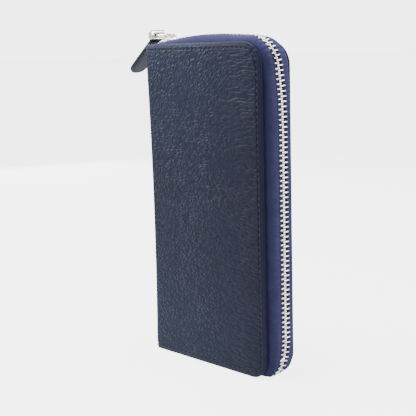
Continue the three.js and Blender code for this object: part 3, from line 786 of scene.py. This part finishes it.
def slider_matrix():
    low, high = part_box("slider")
    slope = math.atan2(SLIDE_AXIS.z, SLIDE_AXIS.x)
    rest_x = (low.x + high.x) / 2
    share = (rest_x - ZIP_START) / TOP_RUN
    ridge = HEIGHT + mix(TOP_BULGE[0], TOP_BULGE[1], share)
    return Matrix.Translation((rest_x, 0, ridge)) @ Matrix.Rotation(-slope, 4, "Y")


def shield(half_length, half_width):
    """A slider's wing seen from above: broad where the rows part, narrow where they meet."""
    points = []
    count = 28
    for i in range(count):
        turn = 2 * math.pi * i / count
        c, s = math.cos(turn), math.sin(turn)
        x = half_length * math.copysign(abs(c) ** 0.62, c)
        narrow = mix(1.0, 0.72, smooth((x / half_length + 1) / 2))
        points.append((x, half_width * narrow * math.copysign(abs(s) ** 0.55, s)))
    return points


def arch_outline(half, height, wall):
    """A loop seen from the side: up, over and down, with the eye under it."""
    count = 12
    turns = [math.pi * i / count for i in range(count + 1)]
    outer = [(half * math.cos(t), height * math.sin(t) ** 0.7) for t in turns]
    inner = [((half - wall) * math.cos(t), (height - wall) * math.sin(t) ** 0.7) for t in turns]
    return outer + inner[::-1]


def add_arch(bm, half, height, wall, half_width, base):
    verts = prism(bm, arch_outline(half, height, wall), -half_width, half_width,
                  0.22 * MM, 2)
    for vert in verts:
        x, z, y = vert.co
        vert.co = (x, y, z + base)


def slider_piece():
    bm = bmesh.new()
    wing = 0.9 * MM
    top = 0.5 * MM
    low = -TOOTH_DEPTH - 0.5 * MM
    outline = shield(5.6 * MM, 4.9 * MM)
    prism(bm, outline, top, top + wing, 0.34 * MM, 3)
    prism(bm, outline, low - wing, low, 0.3 * MM, 2)
    box_prism(bm, (-5.2 * MM, -0.35 * MM, low), (-2.5 * MM, 0.35 * MM, top), 0.1 * MM, 1)
    for side in (-1, 1):
        inner, outer = sorted((side * 4.05 * MM, side * 4.85 * MM))
        box_prism(bm, (-4.6 * MM, inner, -0.25 * MM), (1.6 * MM, outer, top + 0.4 * MM), 0.24 * MM)
        box_prism(bm, (-4.6 * MM, inner, low - 0.4 * MM), (1.6 * MM, outer, -1.75 * MM), 0.24 * MM)
    add_arch(bm, 4.4 * MM, 3.7 * MM, 1.05 * MM, 1.5 * MM, top + wing - 0.1 * MM)
    bmesh.ops.transform(bm, matrix=slider_matrix(), verts=bm.verts)
    map_uv(bm)
    return make_object("slider_body", bm, SLIDER_METAL)


# ---- Puller: link, clasp and leather tab -----------------------------------------------------


def joint_place(name):
    joints = frame["record"]["behaviour"]["joints"]
    return Vector(next(j["pos_m"] for j in joints if j["name"] == name))


def link_piece():
    """A ring of round wire with straight bars, from the slider's arch to the clasp's eye."""
    a = joint_place("pull_link_swing")
    b = joint_place("puller_swing")
    along = (b - a).normalized()
    across = Vector((0, 1, 0))
    up = along.cross(across)
    reach = (b - a).length
    half_width = 3.55 * MM
    wire = 0.62 * MM
    bend = 1.2 * MM
    y = half_width - bend
    flat = []
    for k, corner in enumerate(((bend, y), (reach - bend, y), (reach - bend, -y), (bend, -y))):
        flat += arc_points(corner, bend, 180 - 90 * k, 90 - 90 * k, 6)
    count = len(flat)
    rings = []
    for i in range(count + 1):
        x, across_at = flat[i % count]
        before, after = flat[(i - 1) % count], flat[(i + 1) % count]
        direction = Vector((after[0] - before[0], after[1] - before[1])).normalized()
        outward = along * direction.y - across * direction.x
        centre = a + along * x + across * across_at
        ring = []
        for k in range(12):
            turn = 2 * math.pi * k / 12
            skin = centre + (outward * math.cos(turn) + up * math.sin(turn)) * wire
            ring.append((skin, (i * MM, k * wire / 2)))
        rings.append(ring)
    return grid_object("link_ring", rings, SLIDER_METAL, closed=True, merge=1e-7)


def clasp_piece():
    """Sheet metal folded over the leather, with an eye rolled round the link."""
    low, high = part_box("puller_clasp")
    eye = joint_place("puller_swing")
    body_right = eye.x - 1.6 * MM
    bm = bmesh.new()
    box_prism(bm, (low.x, low.y, low.z), (body_right, high.y, high.z), 0.55 * MM, 4)
    body_middle = mix(low.x, body_right, 0.5)
    for vert in bm.verts:
        waist = 1 - 0.16 * math.sin(math.pi * clamp((vert.co.z - low.z) / (high.z - low.z)))
        vert.co.x = body_middle + (vert.co.x - body_middle) * waist
    rolled = []
    count = 20
    for radius, order in ((1.9 * MM, range(count + 1)), (1.12 * MM, range(count, -1, -1))):
        for i in order:
            turn = math.radians(mix(-150, 150, i / count))
            rolled.append((eye.x + radius * math.cos(turn), eye.z + radius * math.sin(turn)))
    verts = prism(bm, rolled, -2.2 * MM, 2.2 * MM, 0.15 * MM, 2)
    neck_left = body_right - 0.4 * MM
    neck_right = eye.x - 1.2 * MM
    neck_half = 0.95 * MM
    neck = [(neck_left, eye.z - neck_half), (neck_right, eye.z - neck_half),
            (neck_right, eye.z + neck_half), (neck_left, eye.z + neck_half)]
    verts += prism(bm, neck, -2.1 * MM, 2.1 * MM, 0.15 * MM, 2)
    for vert in verts:
        x, z, y = vert.co
        vert.co = (x, y, z)
    bmesh.ops.recalc_face_normals(bm, faces=bm.faces)
    map_uv(bm)
    return make_object("clasp_body", bm, SLIDER_METAL)


TAB_STEP = 0.6 * MM                    # between sections along the tab
TAB_HALF_WIDTH = 6.3 * MM
TAB_HALF_THICKNESS = 1.15 * MM


def tab_route():
    """The tab's middle line, from inside the clasp down past the spine, with directions."""
    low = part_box("puller_tab")[0]
    clasp_low, clasp_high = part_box("puller_clasp")
    x = clasp_low.x + 1.6 * MM
    knots = [Vector((x, 0, clasp_high.z + 0.6 * MM)), Vector((x, 0, clasp_low.z)),
             Vector((x - 1.8 * MM, 0, HEIGHT + 0.9 * MM)),
             Vector((x - 8.6 * MM, 0, HEIGHT - 5.2 * MM)),
             Vector((low.x - 1.6 * MM, 0, low.z + 0.9 * MM))]
    dense = []
    for i in range(len(knots) - 1):
        before, a, b, after = (knots[max(i - 1, 0)], knots[i], knots[i + 1],
                               knots[min(i + 2, len(knots) - 1)])
        for step in range(20):
            t = step / 20
            curve = (2 * a + (b - before) * t + (2 * before - 5 * a + 4 * b - after) * t ** 2
                     + (3 * a - before - 3 * b + after) * t ** 3) / 2
            dense.append(curve)
    dense.append(knots[-1])
    return resample(dense, TAB_STEP)


def tab_half_width(left_to_go, travelled):
    """Narrow in the clasp, a little wider towards the end, and a full round end."""
    broad = mix(0.9, 1.06, smooth(travelled / (22 * MM))) * TAB_HALF_WIDTH
    end = 6.5 * MM
    short = 1 - min(left_to_go / end, 1)
    return broad * math.sqrt(max(1 - short ** 2.2, 0.004))


# Half of the tab's section, across and through it: rounded edges and a groove for the stitches.
TAB_PROFILE = [(-1.0, 0.0), (-0.985, 0.5), (-0.95, 0.8), (-0.88, 0.95), (-0.78, 1.0),
               (-0.72, 0.9), (-0.66, 1.0), (-0.4, 1.05), (0.0, 1.08), (0.4, 1.05),
               (0.66, 1.0), (0.72, 0.9), (0.78, 1.0), (0.88, 0.95), (0.95, 0.8),
               (0.985, 0.5), (1.0, 0.0)]


def tab_piece():
    route = tab_route()
    total = len(route) * TAB_STEP
    rings = []
    pinch_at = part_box("puller_clasp")[0].z
    profile = TAB_PROFILE + [(u, -v) for u, v in TAB_PROFILE[-2:0:-1]]
    for i, (point, along) in enumerate(route):
        travelled = i * TAB_STEP
        width = tab_half_width(total - travelled, travelled)
        thick = TAB_HALF_THICKNESS * mix(1, 0.62, smooth((point.z - pinch_at + MM) / (2 * MM)))
        thick *= mix(0.75, 1.0, smooth((total - travelled) / (1.5 * MM)))
        face = along.cross(Vector((0, 1, 0)))
        rings.append([(point + Vector((0, u * width, 0)) + face * (v * thick),
                       (travelled, u * width)) for u, v in profile])
    return grid_object("tab_leather_strap", rings, TAB_LEATHER, closed=True, caps=True)


def tab_stitching():
    """Two rows of stitches down the tab on each face, joined round its end."""
    route = tab_route()
    total = len(route) * TAB_STEP
    bm = bmesh.new()
    inset = 1.55 * MM
    pinch_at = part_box("puller_clasp")[0].z
    for face_side in (-1, 1):
        path = []
        for edge in (-1, 1):
            leg = []
            for i, (point, along) in enumerate(route):
                travelled = i * TAB_STEP
                if point.z > pinch_at - 1.5 * MM or total - travelled < inset + 0.6 * MM:
                    continue
                width = tab_half_width(total - travelled - inset * 0.8, travelled) - inset
                normal = along.cross(Vector((0, 1, 0))) * face_side
                skin = point + normal * TAB_HALF_THICKNESS * 0.96
                leg.append((skin + Vector((0, edge * width, 0)), normal))
            path += leg if edge < 0 else leg[::-1]
        points = [place for place, normal in path]
        for place, direction in resample(points, 2.9 * MM):
            nearest = min(path, key=lambda item: (item[0] - place).length_squared)
            add_stitch(bm, place, direction, nearest[1], 2.1 * MM, 0.5 * MM)
    return closed_pieces("tab_stitching", bm, THREAD)


# ---- Inside: linings, card pockets, coin pocket --------------------------------------------------


def closed_outline(x0, x1, z0, z1, radius):
    points = line_points((x0 + radius, z0), (x1 - radius, z0), 16)
    points += arc_points((x1 - radius, z0 + radius), radius, -90, 0, 6)
    points += line_points((x1, z0 + radius), (x1, z1 - radius), 30)
    points += arc_points((x1 - radius, z1 - radius), radius, 0, 90, 6)
    points += line_points((x1 - radius, z1), (x0 + radius, z1), 16)
    points += arc_points((x0 + radius, z1 - radius), radius, 90, 180, 6)
    points += line_points((x0, z1 - radius), (x0, z0 + radius), 30)
    points += arc_points((x0 + radius, z0 + radius), radius, 180, 270, 6)
    return points


def soft_plate(name, node, material, radius):
    """A thin sheet in the place of a CAD plate, with rounded edges and a gentle surface."""
    low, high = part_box(node)
    half = (high.y - low.y) / 2
    middle = (high.y + low.y) / 2
    limit = min(high.x - low.x, high.z - low.z) / 2
    insets = [0.0, 0.12, 0.35, 0.8, 1.4, 2.0, 2.4, 2.8, 4, 8, 14, 22]
    insets = [inset * MM for inset in insets if inset * MM < limit * 0.9] + [limit * 0.96]
    shape = [0.0, 0.62, 0.92, 1.0, 0.98, 0.82, 0.82, 0.98] + [1.0] * len(insets)
    levels = [(inset, -shape[i]) for i, inset in enumerate(insets)][:0:-1]
    levels += [(inset, shape[i]) for i, inset in enumerate(insets)]
    rings = []
    for inset, level in levels:
        corner = max(radius - inset, 0.3 * MM)
        outline = closed_outline(low.x + inset, high.x - inset, low.z + inset,
                                 high.z - inset, corner)
        rings.append([((x, middle + level * half, z), (x, z)) for x, z in outline])
    return grid_object(name, rings, material, closed=True, caps=True)


def spine_plate(name, node, material):
    """A plate behind the spine's leather, dished with it, with softened edges."""
    low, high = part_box(node)
    ease = 0.15 * MM
    section = [(low.x, low.y + ease), (low.x, 0), (low.x, high.y - ease),
               (low.x + ease, high.y), (high.x - ease, high.y),
               (high.x, high.y - ease), (high.x, 0), (high.x, low.y + ease),
               (high.x - ease, low.y), (low.x + ease, low.y)]
    rings = []
    steps = 48
    for i in range(steps + 1):
        z = mix(low.z, high.z, i / steps)
        rings.append([(settle((x, y, z)), (x + y, z)) for x, y in section])
    return grid_object(name, rings, material, closed=True, caps=True)


def card_pocket_stitching(name, node, side):
    """Stitches round the three closed sides, and the seam that parts the two columns."""
    low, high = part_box(node)
    y = low.y if side > 0 else high.y
    inset = 2.4 * MM
    edge = [Vector((high.x - 0.6 * MM, y, low.z + inset)), Vector((low.x + inset, y, low.z + inset)),
            Vector((low.x + inset, y, high.z - inset)),
            Vector((high.x - 0.6 * MM, y, high.z - inset))]
    seam_z = (low.z + high.z) / 2
    seam = [Vector((low.x + inset, y, seam_z)), Vector((high.x - 0.6 * MM, y, seam_z))]
    bm = bmesh.new()
    for path in (edge, seam):
        for point, direction in resample(path, 3.0 * MM):
            add_stitch(bm, point, direction, Vector((0, -side, 0)), 2.2 * MM, 0.36 * MM)
    return closed_pieces(name, bm, THREAD)


def gusset(name, node, side, is_top):
    """Cloth folded once between a cover and the coin pocket, deeper towards the zip."""
    low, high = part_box(node)
    mouth = high.z if is_top else low.z
    inward = -1 if is_top else 1
    full = high.z - low.z
    outer, inner = (high.y, low.y) if side > 0 else (low.y, high.y)
    rings = []
    along_steps = 24
    across_steps = 8
    half = 0.2 * MM
    for i in range(along_steps + 1):
        share = i / along_steps
        x = mix(low.x, high.x, share)
        depth = full * mix(0.22, 1.0, share)
        middle = []
        for k in range(across_steps * 2 + 1):
            t = k / (across_steps * 2)
            fold = 1 - abs(2 * t - 1)
            middle.append((mix(outer, inner, t), mouth + inward * depth * smooth(fold * 0.98)))
        ring = [(y, z - inward * half) for y, z in middle]    # there and back, one cloth apart
        ring += [(y, z + inward * half) for y, z in middle[::-1]]
        rings.append([((x, y, z), (x, k * 0.8 * MM)) for k, (y, z) in enumerate(ring)])
    return grid_object(name, rings, LINING_CLOTH, closed=True, caps=True)


def straight_tape(name, node, side):
    """A coin pocket tape: one leg inside the wall, one across the mouth, as its CAD solid."""
    low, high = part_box(node)
    wall = high.y if side > 0 else low.y
    lip = low.y if side > 0 else high.y
    thickness = 0.4 * MM
    bend = 0.5 * MM
    turn_in = side * bend
    middle = [(low.x, wall - side * thickness / 2)]
    middle.append((high.x - thickness / 2 - bend, wall - side * thickness / 2))
    for i in range(1, 6):
        turn = i / 5 * math.pi / 2
        middle.append((high.x - thickness / 2 - bend + bend * math.sin(turn),
                       wall - side * thickness / 2 - turn_in * (1 - math.cos(turn))))
    middle.append((high.x - thickness / 2, lip))
    upper = [beside(middle, k, thickness / 2) for k in range(len(middle))]
    lower = [beside(middle, k, -thickness / 2) for k in range(len(middle))]
    section = upper + lower[::-1]
    rings = []
    steps = 40
    for i in range(steps + 1):
        z = mix(low.z, high.z, i / steps)
        rings.append([((x, y, z), (z, k * 0.7 * MM)) for k, (x, y) in enumerate(section)])
    return grid_object(name, rings, COIN_TAPE_CLOTH, closed=True, caps=True)


def coin_teeth(name, node, side):
    low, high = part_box(node)
    middle_x = (low.x + high.x) / 2
    pitch = 2.0 * MM
    count = int((high.z - low.z) / pitch)
    bm = bmesh.new()
    for i in range(count):
        z = low.z + (i + (0.25 if side < 0 else 0.75)) * pitch
        add_tooth(bm, Vector((middle_x, 0, z)), Vector((0, 0, 1)), Vector((1, 0, 0)), side, 0.56)
    return closed_pieces(name, bm, COIN_METAL)


def coin_slider_piece():
    low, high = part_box("coin_slider")
    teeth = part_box("coin_teeth_front")[1].x
    middle = (low.z + high.z) / 2
    bm = bmesh.new()
    prism(bm, shield(4.0 * MM, 2.5 * MM), 0.3 * MM, 1.1 * MM, 0.25 * MM, 2)
    prism(bm, shield(3.2 * MM, 1.1 * MM), low.x - teeth, low.x - teeth + 0.8 * MM, 0.2 * MM, 2)
    box_prism(bm, (-3.1 * MM, -0.22 * MM, low.x - teeth + 0.4 * MM),
              (-1.2 * MM, 0.22 * MM, 0.6 * MM), 0.08 * MM, 1)
    add_arch(bm, 2.9 * MM, 2.6 * MM, 0.8 * MM, 1.0 * MM, 1.0 * MM)
    to_place = Matrix.Translation((teeth, 0, middle)) @ Matrix.Rotation(math.pi / 2, 4, "Y")
    bmesh.ops.transform(bm, matrix=to_place, verts=bm.verts)
    map_uv(bm)
    return make_object("coin_slider_body", bm, COIN_METAL)


def coin_pull_piece():
    """A stamped tab with an eye at the slider and a broad end with cut corners."""
    pivot = joint_place("coin_pull_swing")
    bm = bmesh.new()
    half_width = 2.4 * MM
    half_thick = 0.4 * MM
    bar = 0.5 * MM                     # half of the bar that turns in the slider's arch
    eye_half = 1.4 * MM
    eye_end = 4.2 * MM
    box_prism(bm, (-bar, -half_width, -half_thick), (bar, half_width, half_thick), 0.2 * MM)
    for side in (-1, 1):
        inner, far = sorted((side * eye_half, side * half_width))
        box_prism(bm, (0.2 * MM, inner, -half_thick), (eye_end + MM, far, half_thick), 0.2 * MM)
    upper_edge = [(12.5 * MM, 0.8 * MM), (11.6 * MM, 1.9 * MM), (10 * MM, half_width),
                  (eye_end, half_width)]
    broad = [(x, -y) for x, y in upper_edge[::-1]] + upper_edge
    prism(bm, broad, -half_thick, half_thick, 0.22 * MM, 2)
    to_place = Matrix.Translation(pivot) @ Matrix.Rotation(math.pi / 2, 4, "Y")
    bmesh.ops.transform(bm, matrix=to_place, verts=bm.verts)
    map_uv(bm)
    return make_object("coin_pull_tab", bm, COIN_METAL)


def end_stop(name, node):
    low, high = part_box(node)
    bm = bmesh.new()
    box_prism(bm, low, high, 0.3 * MM, 3)
    map_uv(bm)
    return make_object(name, bm, TEETH_METAL)


def edge_strip(name, node):
    """The strip round three sides of the coin pocket, between its walls."""
    low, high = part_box(node)
    thickness = 0.7 * MM
    bend = 2.0 * MM
    inner = [(high.x, low.z + thickness / 2)]
    inner += [(low.x + bend, low.z + thickness / 2)]
    inner += arc_points((low.x + bend, low.z + bend), bend - thickness / 2, 270, 180, 6)
    inner += [(low.x + thickness / 2, low.z + bend), (low.x + thickness / 2, high.z - bend)]
    inner += arc_points((low.x + bend, high.z - bend), bend - thickness / 2, 180, 90, 6)
    inner += [(low.x + bend, high.z - thickness / 2), (high.x, high.z - thickness / 2)]
    rings = []
    for k, (x, z) in enumerate(inner):
        corners = []
        for offset, y, seam in ((thickness / 2, low.y, 0), (thickness / 2, high.y, 0),
                                (-thickness / 2, high.y, MM), (-thickness / 2, low.y, -MM)):
            px, pz = beside(inner, k, offset)
            corners.append(((px, y, pz), (x + z, y + seam)))
        rings.append(corners)
    return grid_object(name, rings, INNER_LEATHER, closed=True, caps=True)


# ---- Putting the pieces on the frame ---------------------------------------------------------------


def even_shading(piece):
    """Flat faces stay flat, and only their rounded edges turn the light."""
    piece.modifiers.new("even_shading", "WEIGHTED_NORMAL").keep_sharp = True
    return piece


def mount(piece, body, slot, *nodes):
    """Stand-in and ride of one piece; the slot is not used. A blended piece gives no body."""
    if nodes:
        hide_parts(*nodes)
    if body:
        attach(piece, body)
    return piece


SIDES = (("front", -1, "front_cover"), ("back", 1, "case"))

front_skin = leather_cover("front_cover_leather", -1, False)
mount(front_skin, None, "outer_leather", "front_leather")
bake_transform(front_skin)
mount(leather_cover("back_and_spine_leather", 1, True), "case", "outer_leather",
      "back_leather", "spine_leather")

for side_name, side, body in SIDES:
    mount(cover_stitching(f"{side_name}_stitching", side), body, "outer_leather")
    mount(zip_tape(f"{side_name}_tape", side), body, "zip_tape", f"{side_name}_zip_tape")
    mount(zip_teeth(f"{side_name}_teeth", side), body, "zip_teeth_metal",
          f"{side_name}_zip_teeth")
    mount(soft_plate(f"{side_name}_lining_cloth", f"{side_name}_lining", LINING_CLOTH, 12 * MM),
          body, "lining_cloth", f"{side_name}_lining")
    mount(end_stop(f"{side_name}_end_stop", f"top_stop_{side_name}"), body, "zip_teeth_metal",
          f"top_stop_{side_name}")
    for number in (1, 2, 3):
        node = f"{side_name}_card_pocket_{number}"
        mount(soft_plate(f"{node}_panel", node, INNER_LEATHER, 2 * MM), body,
              "inner_leather", node)
        mount(card_pocket_stitching(f"{node}_stitching", node, side), body, "inner_leather")
    wall = f"coin_pocket_{side_name}"
    mount(soft_plate(f"{wall}_wall", wall, INNER_LEATHER, 2 * MM), "coin_pocket",
          "inner_leather", wall)
    mount(straight_tape(f"coin_tape_{side_name}_strip", f"coin_tape_{side_name}", side),
          "coin_pocket", "coin_zip_tape", f"coin_tape_{side_name}")
    mount(coin_teeth(f"coin_teeth_{side_name}_row", f"coin_teeth_{side_name}", side),
          "coin_pocket", "coin_zip_metal", f"coin_teeth_{side_name}")
    for end_name in ("top", "foot"):
        node = f"{side_name}_gusset_{end_name}"
        piece = gusset(f"{node}_cloth", node, side, end_name == "top")
        mount(piece, None, "lining_cloth", node)
        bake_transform(piece)

mount(end_stop("foot_end_stop", "foot_stop"), "case", "zip_teeth_metal", "foot_stop")
mount(edge_strip("coin_pocket_edge_strip", "coin_pocket_edge"), "coin_pocket",
      "inner_leather", "coin_pocket_edge")
mount(even_shading(slider_piece()), "slider", "slider_metal", "slider")
mount(link_piece(), "pull_link", "slider_metal", "pull_link")
mount(even_shading(clasp_piece()), "puller", "slider_metal", "puller_clasp")
for piece, nodes in ((tab_piece(), ("puller_tab",)), (tab_stitching(), ())):
    mount(piece, "puller", "tab_leather", *nodes)
    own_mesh(piece)
mount(even_shading(coin_slider_piece()), "coin_slider", "coin_zip_metal", "coin_slider")
mount(even_shading(coin_pull_piece()), "coin_pull", "coin_zip_metal", "coin_pull")

mount(spine_plate("spine_board_strip", "spine_board", BOARD), "case", "stiffener_board",
      "spine_board")
mount(spine_plate("spine_lining_cloth", "spine_lining", LINING_CLOTH), "case", "lining_cloth",
      "spine_lining")

for node_name in ("front_board", "back_board"):
    frame["nodes"][node_name].data.materials.clear()
    frame["nodes"][node_name].data.materials.append(BOARD)

# ---- Camera, floor and light --------------------------------------------------------------------------

CAMERA_PLACE = Vector((0.41835, -0.38221, 0.19010))
CAMERA_TURN = math.radians(44.876)     # round the object, from straight in front
CAMERA_DIP = math.radians(10.024)      # looking down
CAMERA_ROLL = math.radians(-1.65)
CAMERA_LENS = 76.86                    # millimetres, on a 36 mm sensor


def add_camera():
    data = bpy.data.cameras.new("camera")
    data.lens = CAMERA_LENS
    data.sensor_width = 36
    data.clip_start = 0.01
    camera = bpy.data.objects.new("camera", data)
    bpy.context.scene.collection.objects.link(camera)
    back = Vector((math.sin(CAMERA_TURN) * math.cos(CAMERA_DIP),
                   -math.cos(CAMERA_TURN) * math.cos(CAMERA_DIP), math.sin(CAMERA_DIP)))
    level = Vector((math.cos(CAMERA_TURN), math.sin(CAMERA_TURN), 0))
    upright = back.cross(level)
    right = level * math.cos(CAMERA_ROLL) + upright * math.sin(CAMERA_ROLL)
    up = upright * math.cos(CAMERA_ROLL) - level * math.sin(CAMERA_ROLL)
    turn = Matrix((right, up, back)).transposed().to_4x4()
    camera.matrix_world = Matrix.Translation(CAMERA_PLACE) @ turn
    bpy.context.scene.camera = camera


def add_softbox(name, place, target, size, power):
    data = bpy.data.lights.new(name, "AREA")
    data.shape = "RECTANGLE"
    data.size, data.size_y = size
    data.energy = power
    light = bpy.data.objects.new(name, data)
    light.location = place
    aim = Vector(target) - Vector(place)
    light.rotation_euler = aim.to_track_quat("-Z", "Y").to_euler()
    bpy.context.scene.collection.objects.link(light)


BACKDROP = 4.6                         # how bright the pale sweep looks to the camera
SHINE = 1.3                            # how bright it is in reflections
FILL = 0.4                             # how much light it gives the wallet


def backdrop_level(tree, less=0.0):
    """The backdrop's strength: one for the camera, one for reflections, one as a light."""
    path = tree.nodes.new("ShaderNodeLightPath")
    shine = tree.nodes.new("ShaderNodeMapRange")
    shine.inputs[3].default_value = FILL * (1 - less)
    shine.inputs[4].default_value = SHINE * (1 - less)
    tree.links.new(path.outputs["Is Glossy Ray"], shine.inputs[0])
    level = tree.nodes.new("ShaderNodeMapRange")
    level.inputs[4].default_value = BACKDROP * (1 - less)
    tree.links.new(shine.outputs[0], level.inputs[3])
    tree.links.new(path.outputs["Is Camera Ray"], level.inputs[0])
    return level.outputs[0]


def add_floor():
    s = Shader("pale_backdrop")
    glow = s.add("Emission", {"Color": (1, 1, 1, 1), "Strength": backdrop_level(s.tree, 0.11)})
    matte = s.add("BsdfDiffuse", {"Color": (0.5, 0.5, 0.5, 1)})
    both = s.add("AddShader", {0: glow.outputs[0], 1: matte.outputs[0]})
    s.tree.links.new(both.outputs[0], s.output.inputs[0])
    bm = bmesh.new()
    reach = 30.0
    corners = [(-reach, -reach), (reach, -reach), (reach, reach), (-reach, reach)]
    bm.faces.new([bm.verts.new((x, y, 0)) for x, y in corners])
    floor = make_object("floor", bm, s.material, False)


def set_world():
    world = bpy.data.worlds.new("studio")
    bpy.context.scene.world = world
    world.use_nodes = True
    tree = world.node_tree
    background = tree.nodes["Background"]
    background.inputs[0].default_value = (1, 1, 1, 1)
    tree.links.new(backdrop_level(tree), background.inputs[1])


add_camera()
add_floor()
set_world()
middle = (RIGHT / 2, 0, HEIGHT / 2)
add_softbox("top_box", (-0.05, -0.10, 0.85), middle, (0.4, 0.4), 12)
add_softbox("left_box", (-0.52, -0.36, 0.50), middle, (0.2, 0.25), 5.0)
add_softbox("back_box", (0.8, 0.5, 0.25), middle, (0.4, 0.8), 10)
add_softbox("rim_box", (-0.8, 0.45, 0.4), middle, (0.3, 0.7), 7)
